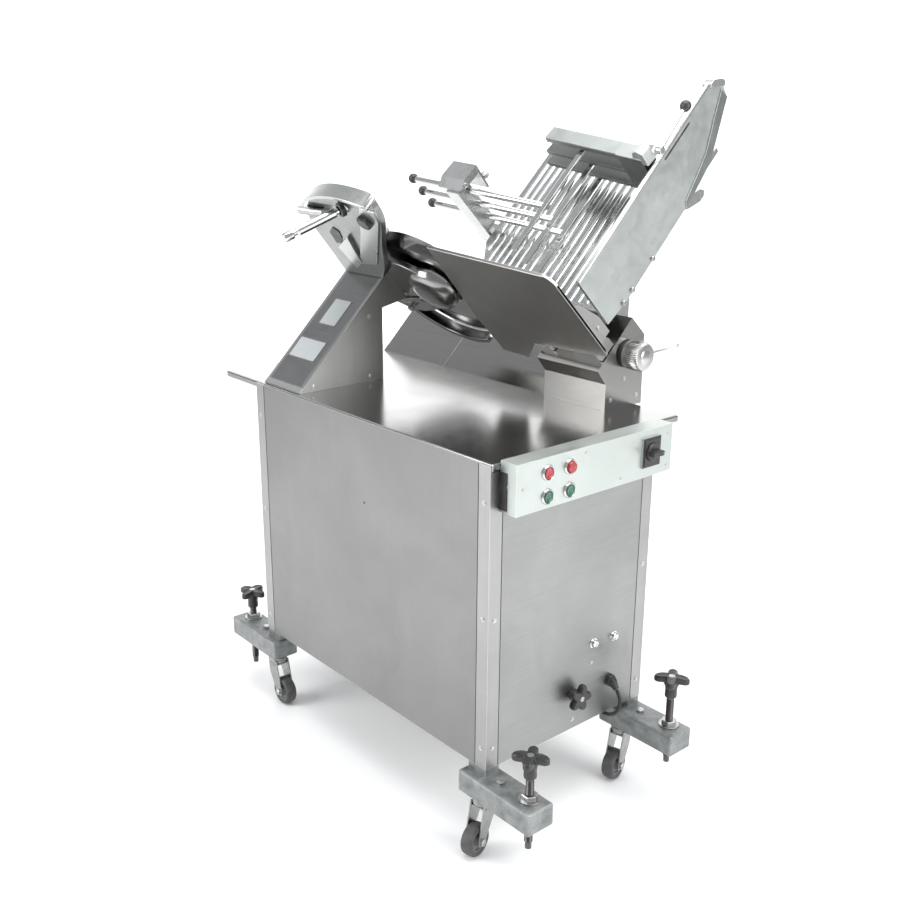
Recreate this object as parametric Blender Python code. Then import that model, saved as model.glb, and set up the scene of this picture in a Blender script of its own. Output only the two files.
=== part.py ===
"""Floor-standing automatic meat slicer: steel cabinet on outrigger feet, inclined blade head,
gauge plate, sliding chute with pusher, controls and castors.  Metres, +Z up.

The machine is laid out round the centre of its cabinet.  Everything on the head is laid out in
the head frame, which is turned 45 degrees about X: x runs across, t up the chute, u square to
the chute floor, and the blade spins in the plane t = 0.
"""
import bpy
import bmesh
from math import cos, sin, pi, radians, sqrt, tau
from mathutils import Matrix, Vector

# ---- driving dimensions -------------------------------------------------------------------
GAP = 0.0003                    # clearance between neighbouring pieces
CAB_X, CAB_Y = 0.772, 0.436     # cabinet length and width
CAB_Z0 = 0.214                  # underside of the cabinet
TABLE_Z, TABLE_T = 0.814, 0.014  # worktop surface height and thickness
TABLE_LEFT, TABLE_BACK = 0.138, 0.070   # worktop overhangs
SHEET = 0.0015                  # panel sheet
POST, POST_T = 0.030, 0.003     # corner angle leg and thickness
FRONT_TOP = 0.8125              # top edge of the front panel, just under the worktop skin

BOX_DEPTH = 0.040               # control box, how far it stands out
BOX_Y0, BOX_Y1 = -0.195, 0.219
BOX_Z0, BOX_Z1 = 0.725, 0.8195
BUTTON_Y = (-0.120, -0.065)
BUTTON_Z = (0.747, 0.791)
BUTTON_R, BUTTON_TRAVEL = 0.0105, 0.003
SWITCH_Y, SWITCH_Z = 0.155, 0.775
PLATE_T = 0.004                 # selector escutcheon

FLOOR_Z = 0.030                 # floor level under the wheels
BEAM_H, BEAM_W = 0.045, 0.064   # outrigger box section
BEAM_Z0 = 0.153
BEAM_REACH = 0.522              # outer end of an outrigger from the middle
BEAM_INNER = 0.330
BEAM_FRONT_Y, BEAM_REAR_Y = -0.206, 0.189
CASTER_X, CASTER_TRAIL = 0.366, 0.025
WHEEL_R, WHEEL_W = 0.0325, 0.026
LEVELLER_X, LEVELLER_DY = 0.485, 0.006
LEVELLER_R = 0.0080

HEAD_O = (0.0, 0.172, 0.946)    # head frame origin: foot of the gauge plate
HEAD_TILT = radians(45)
TOWER_X = (-0.370, -0.229)
BLADE_X, BLADE_U, BLADE_R = -0.110, 0.134, 0.160
RING_IN, RING_OUT = 0.1635, 0.176
WALL_X = 0.268                  # inner face of the chute's side wall
FLOOR_U = 0.030                 # chute floor surface
BAR_X = 0.069                   # the three stacked guide bars
BAR_LEVELS = (0.071, 0.113, 0.155)
ROD_R, ROD_DROP = 0.0075, 0.008  # cross rods, just under their bars
PUSHER_TURN = radians(-9.3)
FENCE_TURN = radians(-5.4)

CORD_R = 0.004
GLAND_Y, GLAND_Z = 0.118, 0.286
CLIP_R = 0.0075

STEEL = (0.56, 0.56, 0.55, 1)
POLISHED = (0.50, 0.50, 0.50, 1)
CAST = (0.62, 0.64, 0.64, 1)
PALE = (0.68, 0.71, 0.69, 1)
ZINC = (0.36, 0.39, 0.39, 1)
BLACK = (0.02, 0.02, 0.02, 1)


# ---- starting clean -----------------------------------------------------------------------
def clear_scene():
    for old in list(bpy.data.objects):
        bpy.data.objects.remove(old, do_unlink=True)


def material(name, colour, rough=0.35, metal=1.0):
    mat = bpy.data.materials.new(name)
    mat.use_nodes = True
    bsdf = mat.node_tree.nodes["Principled BSDF"]
    bsdf.inputs["Base Color"].default_value = colour
    bsdf.inputs["Roughness"].default_value = rough
    bsdf.inputs["Metallic"].default_value = metal
    mat.diffuse_color = colour
    return mat


def finish(bm, name, mat, parent, place=None, smooth=False):
    """Turn a bmesh into a named object under a parent."""
    bmesh.ops.recalc_face_normals(bm, faces=bm.faces)
    mesh = bpy.data.meshes.new(name)
    bm.to_mesh(mesh)
    bm.free()
    obj = bpy.data.objects.new(name, mesh)
    bpy.context.scene.collection.objects.link(obj)
    mesh.materials.append(mat)
    obj.parent = parent
    if place is not None:
        obj.matrix_local = place
    if smooth:
        mesh.shade_smooth()
        mesh.set_sharp_from_angle(angle=radians(35))
    return obj


def empty(name, parent=None, matrix=None):
    obj = bpy.data.objects.new(name, None)
    bpy.context.scene.collection.objects.link(obj)
    obj.parent = parent
    if matrix is not None:
        obj.matrix_local = matrix
    return obj


# ---- solids -------------------------------------------------------------------------------
def box_mesh(x, y, z):
    bm = bmesh.new()
    size = (x[1] - x[0], y[1] - y[0], z[1] - z[0])
    mid = ((x[0] + x[1]) / 2, (y[0] + y[1]) / 2, (z[0] + z[1]) / 2)
    bmesh.ops.create_cube(bm, size=1, matrix=Matrix.Translation(mid) @ Matrix.Diagonal((*size, 1)))
    return bm


def prism_mesh(outline, low, high, axis):
    """Extrude a flat outline along an axis; the outline's pairs are the other two axes in order."""
    bm = bmesh.new()

    def point(pair, along):
        p, q = pair
        return {"x": (along, p, q), "y": (p, along, q), "z": (p, q, along)}[axis]

    verts = [bm.verts.new(point(pair, low)) for pair in outline]
    face = bm.faces.new(verts)
    grown = bmesh.ops.extrude_face_region(bm, geom=[face])
    tops = [v for v in grown["geom"] if isinstance(v, bmesh.types.BMVert)]
    shift = {"x": (high - low, 0, 0), "y": (0, high - low, 0), "z": (0, 0, high - low)}[axis]
    bmesh.ops.translate(bm, verts=tops, vec=shift)
    return bm


def turned_mesh(profile, steps):
    """Spin a profile of (radius, height) pairs, bottom to top, round Z; ends close on the axis."""
    bm = bmesh.new()
    rings = []
    for radius, height in profile:
        if radius == 0:
            rings.append([bm.verts.new((0, 0, height))])
        else:
            rings.append([bm.verts.new((radius * cos(tau * k / steps), radius * sin(tau * k / steps), height))
                          for k in range(steps)])
    for lower, upper in zip(rings, rings[1:]):
        for k in range(steps):
            n = (k + 1) % steps
            ring = [lower[k % len(lower)], lower[n % len(lower)], upper[n % len(upper)], upper[k % len(upper)]]
            corners = list(dict.fromkeys(ring))
            if len(corners) > 2:
                bm.faces.new(corners)
    return bm


def rod_mesh(radius, low, high, steps=16):
    return turned_mesh([(0, low), (radius, low), (radius, high), (0, high)], steps)


def lobed_outline(lobes, root, tip, per_lobe=6):
    """A star knob's outline: rounded lobes round a circle."""
    count = lobes * per_lobe
    points = []
    for k in range(count):
        wave = 0.5 + 0.5 * cos(tau * k / per_lobe)
        radius = root + (tip - root) * wave ** 0.7
        points.append((radius * cos(tau * k / count), radius * sin(tau * k / count)))
    return points


def along(point, direction):
    """A frame at a point whose Z runs along a direction."""
    turn = Vector(direction).to_track_quat("Z", "Y").to_matrix().to_4x4()
    return Matrix.Translation(point) @ turn


def boolean(target, tool, how):
    tool.hide_render = True
    tool.display_type = "WIRE"
    mod = target.modifiers.new(how.title(), "BOOLEAN")
    mod.operation = how
    mod.solver = "EXACT"
    mod.object = tool


def cut(target, bm, parent, place=None):
    boolean(target, finish(bm, target.name + "_cutter", target.data.materials[0], parent, place), "DIFFERENCE")


def join(target, bm, parent, place=None):
    boolean(target, finish(bm, target.name + "_lobe", target.data.materials[0], parent, place), "UNION")


def bevel(obj, width, segments=2, angle=40):
    mod = obj.modifiers.new("Edges", "BEVEL")
    mod.width = width
    mod.segments = segments
    mod.limit_method = "ANGLE"
    mod.angle_limit = radians(angle)


# ---- cabinet ------------------------------------------------------------------------------
def corner_posts(root):
    """Four folded angles; the front pair rise beside the worktop's edge."""
    steel = material("post_steel", STEEL, 0.3)
    hx, hy = CAB_X / 2, CAB_Y / 2
    under = TABLE_Z - TABLE_T - GAP
    for sx, x_name in ((-1, "blade_end"), (1, "control_end")):
        for sy, y_name in ((-1, "front"), (1, "rear")):
            outline = [(sx * hx, sy * hy), (sx * (hx - POST), sy * hy), (sx * (hx - POST), sy * (hy - POST_T)),
                       (sx * (hx - POST_T), sy * (hy - POST_T)), (sx * (hx - POST_T), sy * (hy - POST)),
                       (sx * hx, sy * (hy - POST))]
            top = FRONT_TOP if sy < 0 else under
            post = finish(prism_mesh(outline, CAB_Z0, top, "z"), "corner_post_%s_%s" % (x_name, y_name), steel, root)
            if sy < 0:
                inner = -hy + POST_T
                wide = sorted((sx * (hx - POST - 0.002), sx * (hx + 0.002)))
                cut(post, box_mesh(wide, (inner, inner + 2 * POST), (under, top + 0.01)), root)


def cabinet_panels(root):
    steel = material("panel_steel", STEEL, 0.32)
    hx, hy = CAB_X / 2, CAB_Y / 2
    inner_x, inner_y = hx - POST - GAP, hy - POST - GAP
    under = TABLE_Z - TABLE_T - GAP
    finish(box_mesh((-inner_x, inner_x), (-hy, -hy + SHEET), (CAB_Z0, FRONT_TOP)), "front_panel", steel, root)
    finish(box_mesh((-inner_x, inner_x), (hy - SHEET, hy), (CAB_Z0, under)), "rear_panel", steel, root)
    finish(box_mesh((-hx, -hx + SHEET), (-inner_y, inner_y), (CAB_Z0, under)), "blade_end_panel", steel, root)
    end = finish(box_mesh((hx - SHEET, hx), (-inner_y, inner_y), (CAB_Z0, under)), "control_end_panel", steel, root)
    for y, z, radius in ((GLAND_Y, GLAND_Z, 0.0085), (TENSION_Y, TENSION_Z, 0.006)):
        cut(end, rod_mesh(radius, -0.01, 0.01, 20), root, along((hx, y, z), (1, 0, 0)))


def bottom_tray(root):
    """Folded floor of the cabinet, with two saddle clips under it for the mains lead."""
    steel = material("tray_steel", STEEL, 0.4)
    x, y = CAB_X / 2 - POST_T - GAP, CAB_Y / 2 - POST_T - GAP
    z = CAB_Z0 + GAP
    tray = finish(box_mesh((-x, x), (-y, y), (z, z + 0.025)), "bottom_tray", steel, root)
    wall = 0.002
    cut(tray, box_mesh((-x + wall, x - wall), (-y + wall, y - wall), (z + wall, z + 0.05)), root)
    for point, heading in CLIPS:
        place = Matrix.Translation((*point, z)) @ Matrix.Rotation(heading, 4, "Z")
        join(tray, box_mesh((-0.008, 0.008), (-0.011, 0.011), (-0.0165, 0.0005)), root, place)
        cut(tray, rod_mesh(CORD_R + 2 * GAP, -0.02, 0.02, 16), root,
            place @ Matrix.Translation((0, 0, CLIP_DROP)) @ Matrix.Rotation(radians(90), 4, "Y"))


def worktop(root):
    steel = material("worktop_steel", POLISHED, 0.12)
    x = (-CAB_X / 2 - TABLE_LEFT, CAB_X / 2 - GAP)
    y = (-CAB_Y / 2 + POST_T + GAP, CAB_Y / 2 + TABLE_BACK)
    top = finish(box_mesh(x, y, (TABLE_Z - TABLE_T, TABLE_Z)), "worktop", steel, root)
    bevel(top, 0.003, 2)
    cut(top, box_mesh((-0.345, -0.255), (-0.150, -0.010), (TABLE_Z - 0.03, TABLE_Z + 0.01)), root)


# ---- controls -----------------------------------------------------------------------------
TENSION_Y, TENSION_Z = 0.008, 0.294


def control_box(root):
    """Shallow box open towards the cabinet, with the selector's escutcheon on its face."""
    pale = material("fascia_pale", PALE, 0.45, 0.6)
    x0, x1 = CAB_X / 2 + GAP, CAB_X / 2 + BOX_DEPTH
    wall = 0.0015
    skin = finish(box_mesh((x0, x1), (BOX_Y0, BOX_Y1), (BOX_Z0, BOX_Z1)), "control_box", pale, root)
    cut(skin, box_mesh((x0 - 0.01, x1 - wall), (BOX_Y0 + wall, BOX_Y1 - wall), (BOX_Z0 + wall, BOX_Z1 - wall)), root)
    join(skin, box_mesh((x1 - wall / 2, x1 + PLATE_T), (SWITCH_Y - 0.025, SWITCH_Y + 0.025),
                        (SWITCH_Z - 0.029, SWITCH_Z + 0.029)), root)
    for y in BUTTON_Y:
        for z in BUTTON_Z:
            cut(skin, rod_mesh(BUTTON_R + 0.0008, -0.01, 0.01, 24), root, along((x1, y, z), (1, 0, 0)))
    cut(skin, rod_mesh(0.0062, -0.01, 0.01, 16), root, along((x1, SWITCH_Y, SWITCH_Z), (1, 0, 0)))


def push_buttons(root):
    """Two stop and two start buttons, each a cap on a stem that travels into the box."""
    face_x = CAB_X / 2 + BOX_DEPTH
    looks = {"stop_button": ((0.35, 0.03, 0.03, 1), BUTTON_Y[0], BUTTON_Z[1], 0.0),
             "start_button": ((0.02, 0.22, 0.10, 1), BUTTON_Y[0], BUTTON_Z[0], 0.0),
             "blade_stop_button": ((0.55, 0.04, 0.05, 1), BUTTON_Y[1], BUTTON_Z[1], 0.0035),
             "blade_start_button": ((0.02, 0.22, 0.10, 1), BUTTON_Y[1], BUTTON_Z[0], 0.0)}
    for name, (colour, y, z, proud) in looks.items():
        plastic = material(name + "_plastic", colour, 0.35, 0.0)
        top = 0.0062 + proud
        profile = [(0, -0.022), (0.004, -0.022), (0.004, -0.006), (BUTTON_R, -0.006), (BUTTON_R, top - 0.001),
                   (BUTTON_R - 0.001, top), (0, top)]
        finish(turned_mesh(profile, 24), name, plastic, root, along((face_x, y, z), (1, 0, 0)), smooth=True)


def cam_switch(root):
    black = material("switch_black", BLACK, 0.4, 0.0)
    spot = along((CAB_X / 2 + BOX_DEPTH + PLATE_T, SWITCH_Y, SWITCH_Z), (1, 0, 0))
    profile = [(0, -0.020), (0.0055, -0.020), (0.0055, GAP), (0.018, GAP), (0.018, 0.006), (0.016, 0.008), (0, 0.008)]
    knob = finish(turned_mesh(profile, 24), "switch_knob", black, root, spot, smooth=True)
    join(knob, box_mesh((-0.0165, 0.0165), (-0.0045, 0.0045), (0.004, 0.020)), root, spot)


def tension_knob(root):
    """Five-lobed knob of the belt tensioner, low on the control end."""
    black = material("tension_black", BLACK, 0.45, 0.0)
    spot = along((CAB_X / 2, TENSION_Y, TENSION_Z), (1, 0, 0))
    knob = finish(prism_mesh(lobed_outline(5, 0.016, 0.028), 0.016, 0.030, "z"), "tension_knob", black, root, spot)
    join(knob, turned_mesh([(0, -0.030), (0.005, -0.030), (0.005, 0.0015), (0.011, 0.0015), (0.011, 0.0165),
                            (0, 0.0165)], 20), root, spot)


# ---- feet ---------------------------------------------------------------------------------
# corner name, side along X, side along Y, knob raise, castor heading
CORNERS = (("front_right", 1, -1, 0.000, 13), ("rear_right", 1, 1, 0.018, 13),
           ("front_left", -1, -1, -0.018, 90), ("rear_left", -1, 1, 0.000, 60))


def beam_y(sy):
    return BEAM_FRONT_Y if sy < 0 else BEAM_REAR_Y


def outrigger_beams(root):
    """Capped box beam with a foot pad under the post, a castor plate and a welded nut."""
    zinc = material("outrigger_zinc", ZINC, 0.55, 0.8)
    top = BEAM_Z0 + BEAM_H
    for name, sx, sy, raised, heading in CORNERS:
        y = beam_y(sy)
        reach = sorted((sx * BEAM_INNER, sx * BEAM_REACH))
        beam = finish(box_mesh(reach, (y - BEAM_W / 2, y + BEAM_W / 2), (BEAM_Z0, top)),
                      "outrigger_beam_" + name, zinc, root)
        bevel(beam, 0.004, 2)
        pad_x = sorted((sx * (BEAM_INNER + 0.006), sx * (CAB_X / 2 - 0.001)))
        pad_y = sorted((sy * (CAB_Y / 2 - 0.001), sy * (CAB_Y / 2 - 0.034)))
        join(beam, box_mesh(pad_x, pad_y, (top - 0.006, CAB_Z0 - GAP)), root)
        cx = sx * CASTER_X
        join(beam, box_mesh((cx - 0.024, cx + 0.024), (y - 0.024, y + 0.024), (BEAM_Z0 - 0.003, BEAM_Z0 + 0.006)), root)
        nut = turned_mesh([(0, top - 0.006), (0.0145, top - 0.006), (0.0145, top + 0.012), (0, top + 0.012)], 6)
        spot = Matrix.Translation((sx * LEVELLER_X, y + LEVELLER_DY, 0))
        join(beam, nut, root, spot)
        cut(beam, rod_mesh(LEVELLER_R + GAP, 0.10, 0.30, 20), root, spot)


def casters(root):
    """Swivel forks with trailing wheels."""
    zinc = material("castor_zinc", (0.45, 0.45, 0.45, 1), 0.35)
    rubber = material("castor_rubber", (0.08, 0.08, 0.08, 1), 0.7, 0.0)
    plate_z = BEAM_Z0 - 0.003 - GAP
    for name, sx, sy, raised, heading in CORNERS:
        spot = Matrix.Translation((sx * CASTER_X, beam_y(sy), 0)) @ Matrix.Rotation(radians(heading), 4, "Z")
        swivel = empty("castor_swivel_" + name, root, spot)
        crown = [(0, plate_z - 0.030), (0.018, plate_z - 0.030), (0.021, plate_z - 0.022), (0.021, plate_z), (0, plate_z)]
        fork = finish(turned_mesh(crown, 24), "castor_fork_" + name, zinc, swivel, smooth=True)
        half = WHEEL_W / 2 + 0.002
        hub_y, hub_z = -CASTER_TRAIL, FLOOR_Z + WHEEL_R
        leg = [(0.018, plate_z - 0.024), (-0.018, plate_z - 0.024), (-0.024, plate_z - 0.036), (hub_y - 0.011, hub_z),
               (hub_y - 0.007, hub_z - 0.010), (hub_y + 0.007, hub_z - 0.010), (hub_y + 0.012, hub_z),
               (0.012, plate_z - 0.048)]
        for side in (-1, 1):
            wide = sorted((side * half, side * (half + 0.003)))
            join(fork, prism_mesh(leg, wide[0], wide[1], "x"), swivel)
        axle = along((0, hub_y, hub_z), (1, 0, 0))
        join(fork, rod_mesh(0.0045, -half - 0.006, half + 0.006, 12), swivel, axle)
        w = WHEEL_W / 2
        tyre = [(0.0049, -w), (0.011, -w), (0.012, -w + 0.002), (0.021, -w + 0.002), (0.023, -w), (0.029, -w),
                (WHEEL_R, -w + 0.005), (WHEEL_R, w - 0.005), (0.029, w), (0.023, w), (0.021, w - 0.002),
                (0.012, w - 0.002), (0.011, w), (0.0049, w), (0.0049, -w)]
        finish(ring_mesh(tyre, 36), "castor_wheel_" + name, rubber, swivel, axle, smooth=True)


def ring_mesh(loop, steps):
    """Spin a closed loop of (radius, height) pairs round Z; the loop repeats its first point."""
    bm = bmesh.new()
    rings = [[bm.verts.new((r * cos(tau * k / steps), r * sin(tau * k / steps), h)) for k in range(steps)]
             for r, h in loop[:-1]]
    for low, high in zip(rings, rings[1:] + rings[:1]):
        for k in range(steps):
            n = (k + 1) % steps
            bm.faces.new((low[k], low[n], high[n], high[k]))
    return bm


def levellers(root):
    """Jack screws with four-lobed knobs; each screw slides as its knob turns."""
    dark = material("leveller_steel", (0.25, 0.25, 0.25, 1), 0.4)
    black = material("leveller_black", BLACK, 0.45, 0.0)
    for name, sx, sy, raised, heading in CORNERS:
        spot = Matrix.Translation((sx * LEVELLER_X, beam_y(sy) + LEVELLER_DY, 0.095 + raised))
        profile = [(0, 0), (LEVELLER_R - 0.002, 0), (LEVELLER_R, 0.003), (LEVELLER_R, 0.150), (0, 0.150)]
        finish(turned_mesh(profile, 16), "leveller_screw_" + name, dark, root, spot, smooth=True)
        head = spot @ Matrix.Translation((0, 0, 0.150 + GAP))
        hub = [(0, 0), (0.012, 0), (0.013, 0.016), (0.017, 0.030), (0.017, 0.036), (0, 0.036)]
        knob = finish(turned_mesh(hub, 20), "leveller_knob_" + name, black, root, head, smooth=True)
        star = prism_mesh(lobed_outline(4, 0.017, 0.036), 0.034, 0.046, "z")
        join(knob, star, root, head @ Matrix.Rotation(radians(20 + heading), 4, "Z"))


# ---- mains lead ---------------------------------------------------------------------------
CLIP_DROP = -0.010
CLIPS = (((0.300, 0.110), radians(180)), ((-0.060, 0.165), radians(171.1)))
COIL_AT = (-0.3066, 0.4440)
COIL_MID_R, COIL_HALF_W, COIL_H = 0.046, 0.0135, 0.0175
CORD_ROUTE = (
    (0.4087, 0.1180, 0.2713), (0.4168, 0.1180, 0.2581), (0.4190, 0.1178, 0.2418), (0.4140, 0.1174, 0.2261),
    (0.4029, 0.1168, 0.2140), (0.3909, 0.1160, 0.2084), (0.3800, 0.1150, 0.2066), (0.3550, 0.1130, 0.2045),
    (0.3300, 0.1110, 0.2040), (0.3000, 0.1100, 0.2043), (0.2600, 0.1130, 0.2030), (0.2000, 0.1220, 0.1990),
    (0.1200, 0.1370, 0.1970), (0.0400, 0.1500, 0.1990), (-0.0200, 0.1595, 0.2030), (-0.0600, 0.1650, 0.2043),
    (-0.1000, 0.1720, 0.2020), (-0.1500, 0.1900, 0.1880), (-0.1950, 0.2150, 0.1540), (-0.2200, 0.2380, 0.1130),
    (-0.2320, 0.2600, 0.0750), (-0.2360, 0.2850, 0.0480), (-0.2385, 0.3150, 0.0360), (-0.2400, 0.3500, 0.0343),
    (-0.2440, 0.3850, 0.0343), (-0.2505, 0.4120, 0.0343))


def smooth_route(points, count):
    """Catmull-Rom curve through the points, resampled at an even spacing."""
    pts = [Vector(p) for p in points]
    pts = [pts[0] * 2 - pts[1]] + pts + [pts[-1] * 2 - pts[-2]]
    fine = []
    for a, b, c, d in zip(pts, pts[1:], pts[2:], pts[3:]):
        for k in range(12):
            s = k / 12
            fine.append(0.5 * (2 * b + (c - a) * s + (2 * a - 5 * b + 4 * c - d) * s * s
                               + (3 * b - a - 3 * c + d) * s ** 3))
    fine.append(pts[-2])
    steps = [0.0]
    for a, b in zip(fine, fine[1:]):
        steps.append(steps[-1] + (b - a).length)
    even = []
    seg = 0
    for k in range(count):
        want = steps[-1] * k / (count - 1)
        while seg < len(steps) - 2 and steps[seg + 1] < want:
            seg += 1
        share = (want - steps[seg]) / (steps[seg + 1] - steps[seg])
        even.append(fine[seg].lerp(fine[seg + 1], share))
    return even


def mains_lead(root):
    black = material("cord_black", BLACK, 0.5, 0.0)
    steel_x = CAB_X / 2
    spot = along((steel_x + GAP, GLAND_Y, GLAND_Z), (1, 0, 0))
    profile = [(0, -0.012), (0.0075, -0.012), (0.0075, 0), (0.0125, 0), (0.0125, 0.008), (0.0110, 0.010), (0, 0.0125)]
    gland = finish(turned_mesh(profile, 20), "cord_gland", black, root, spot, smooth=True)
    sleeve = [(0, -0.004), (0.0102, -0.004), (0.0102, 0.006), (0.0065, 0.0195), (0, 0.0195)]
    join(gland, turned_mesh(sleeve, 20), root, along((steel_x + 0.008, GLAND_Y, GLAND_Z), (1, 0, -1)))
    curve = bpy.data.curves.new("power_cord", "CURVE")
    curve.dimensions = "3D"
    curve.bevel_depth = CORD_R
    curve.bevel_resolution = 2
    curve.use_fill_caps = True
    route = smooth_route(CORD_ROUTE, 72)
    spline = curve.splines.new("POLY")
    spline.points.add(len(route) - 1)
    for point, place in zip(spline.points, route):
        point.co = (*place, 1)
    lead = bpy.data.objects.new("power_cord", curve)
    bpy.context.scene.collection.objects.link(lead)
    curve.materials.append(black)
    lead.parent = root
    low, high = COIL_MID_R - COIL_HALF_W, COIL_MID_R + COIL_HALF_W
    loop = [(low, 0.003), (low + 0.003, 0), (high - 0.003, 0), (high, 0.003), (high, COIL_H - 0.003),
            (high - 0.003, COIL_H), (low + 0.003, COIL_H), (low, COIL_H - 0.003), (low, 0.003)]
    finish(ring_mesh(loop, 28), "cord_coil", black, root, Matrix.Translation((*COIL_AT, FLOOR_Z + GAP)), smooth=True)
    plug_spot = Matrix.Translation((COIL_AT[0] - 0.100, COIL_AT[1] + 0.010, FLOOR_Z + 0.018 + GAP))
    body = [(0, -0.026), (0.008, -0.026), (0.0175, -0.006), (0.0175, 0.020), (0, 0.020)]
    plug = finish(turned_mesh(body, 20), "power_plug", black, root,
                  plug_spot @ Matrix.Rotation(radians(90), 4, "X"), smooth=True)
    for side in (-0.0095, 0.0095):
        join(plug, rod_mesh(0.0024, 0.018, 0.039, 10), root,
             plug_spot @ Matrix.Rotation(radians(90), 4, "X") @ Matrix.Translation((side, 0, 0)))


# ---- head: tower and guide housing --------------------------------------------------------
def blade_tower(root):
    """Wedge-shaped sheet tower that carries the blade head."""
    steel = material("tower_steel", STEEL, 0.35)
    z = TABLE_Z + GAP
    outline = [(-0.206, z), (0.016, z), (0.016, 0.975), (0.088, 0.9905), (0.028, 1.0505)]
    tower = finish(prism_mesh(outline, TOWER_X[0], TOWER_X[1], "x"), "blade_tower", steel, root)
    inside = [(-0.2158, 0.800), (0.013, 0.800), (0.013, 1.0288)]
    cut(tower, prism_mesh(inside, TOWER_X[0] + 0.003, TOWER_X[1] - 0.003, "x"), root)


def guide_housing(root):
    """Long wedge that hides the carriage rail, with the taller gauge block at its control end."""
    steel = material("housing_steel", POLISHED, 0.15)
    z = TABLE_Z + GAP
    low_part = [(0.200, z), (0.303, z), (0.303, 0.905), (0.2906, 0.905)]
    block = [(0.191, z), (0.191, 0.870), (0.167, 0.900), (0.262, 0.997), (0.302, 0.959), (0.303, z)]
    housing = finish(prism_mesh(block, 0.105, 0.275, "x"), "guide_housing", steel, root)
    join(housing, prism_mesh(low_part, -0.470, 0.110, "x"), root)
    hollow = [(0.214, 0.80), (0.299, 0.80), (0.299, 0.899)]
    cut(housing, prism_mesh(hollow, -0.466, 0.271, "x"), root)


def blade_motor(root):
    black = material("motor_grey", (0.18, 0.20, 0.22, 1), 0.5, 0.3)
    z = TABLE_Z - TABLE_T - GAP
    profile = [(0, z - 0.215), (0.045, z - 0.215), (0.058, z - 0.195), (0.058, z - 0.012), (0.074, z - 0.012),
               (0.074, z), (0.014, z), (0.014, z + 0.022), (0.034, z + 0.022), (0.034, z + 0.046), (0, z + 0.046)]
    finish(turned_mesh(profile, 28), "blade_motor", black, root, Matrix.Translation((-0.300, -0.080, 0)), smooth=True)


def carriage_motor(root):
    grey = material("gearmotor_grey", (0.18, 0.20, 0.22, 1), 0.5, 0.3)
    z = CAB_Z0 + GAP + 0.002 + GAP
    box = finish(box_mesh((0.02, 0.14), (-0.055, 0.055), (z, z + 0.130)), "carriage_motor", grey, root)
    bevel(box, 0.006, 2)
    join(box, rod_mesh(0.052, 0.0, 0.190, 24), root, along((0.10, 0, z + 0.065), (-1, 0, 0)))


# ---- head: blade, gauge plate, sharpener --------------------------------------------------
def blade_frame():
    return Matrix.Translation((BLADE_X, 0, BLADE_U)) @ Matrix.Rotation(radians(-90), 4, "X")


def blade(head):
    """Dished circular knife on a stub shaft; heights run along +t."""
    steel = material("blade_steel", POLISHED, 0.08)
    profile = [(0, -0.030), (0.012, -0.030), (0.012, -0.0105), (0.046, -0.0105), (0.048, -0.0045),
               (BLADE_R - 0.012, -0.0040), (BLADE_R, -0.0006), (BLADE_R, -0.0002), (BLADE_R - 0.020, -0.0012),
               (0.060, -0.0012), (0, -0.0012)]
    finish(turned_mesh(profile, 72), "blade", steel, head, blade_frame(), smooth=True)


def arc_points(centre, radius, start, end, count):
    return [(centre[0] + radius * cos(radians(start + (end - start) * k / count)),
             centre[1] + radius * sin(radians(start + (end - start) * k / count))) for k in range(count + 1)]


def blade_gearbox(head):
    """Cast arm bolted to the tower, domed bearing housing and the guard ring round the blade."""
    cast = material("gearbox_cast", CAST, 0.3)
    centre = (BLADE_X, BLADE_U)
    t0, t1 = -0.0277, -0.0135
    ring = arc_points(centre, RING_OUT, 95, 290, 30) + arc_points(centre, RING_IN, 290, 95, 30)
    body = finish(prism_mesh(ring, -0.0277, -0.0004, "y"), "blade_gearbox", cast, head)
    arm = [(-0.362, 0.093), (-0.250, 0.040), (-0.150, 0.062), (-0.060, 0.110), (-0.075, 0.180), (-0.150, 0.215),
           (-0.240, 0.235), (-0.362, 0.1755)]
    join(body, prism_mesh(arm, t0, t1, "y"), head)
    dome = [(0, -0.042), (0.034, -0.042), (0.050, -0.036), (0.060, -0.024), (0.064, -0.0137), (0, -0.0137)]
    join(body, turned_mesh(dome, 36), head, blade_frame())
    cut(body, rod_mesh(0.0135, -0.034, 0.0, 20), head, blade_frame())


def gauge_plate(head):
    """Plate that sets slice thickness, with its slide block behind."""
    steel = material("gauge_steel", STEEL, 0.3)
    outline = [(-0.009, 0.279), (0.288, 0.2435), (0.302, 0.234), (0.309, 0.217), (0.309, 0.018), (0.304, 0.005),
               (0.290, 0.0), (0.097, -0.008), (0.035, -0.074), (-0.041, -0.068), (-0.039, 0.022), (-0.042, 0.045)]
    plate = finish(prism_mesh(outline, -0.0165, -0.0115, "y"), "gauge_plate", steel, head)
    foot = [(-0.0120, -0.026), (0.030, -0.026), (0.030, -0.006), (0.002, 0.050), (-0.0120, 0.070)]
    join(plate, prism_mesh(foot, 0.262, 0.272, "x"), head)
    join(plate, prism_mesh(foot, 0.130, 0.140, "x"), head)


def thickness_dial(root):
    steel = material("dial_steel", CAST, 0.2)
    spot = along((0.275 + GAP, 0.252, 0.925), (1, 0, 0))
    profile = [(0, 0), (0.024, 0), (0.024, 0.006), (0.030, 0.006), (0.030, 0.046), (0.028, 0.048), (0, 0.048)]
    dial = finish(turned_mesh(profile, 32), "thickness_dial", steel, root, spot, smooth=True)
    join(dial, rod_mesh(0.0032, 0.0, 0.095, 10), root, along((0.318, 0.262, 0.930), (0, 1, 0.06)))


SHARPENER_BASE = (-0.1284, -0.050, 0.4135)
SHARPENER_DIR = (-0.031, -0.120, 0.0465)


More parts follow.
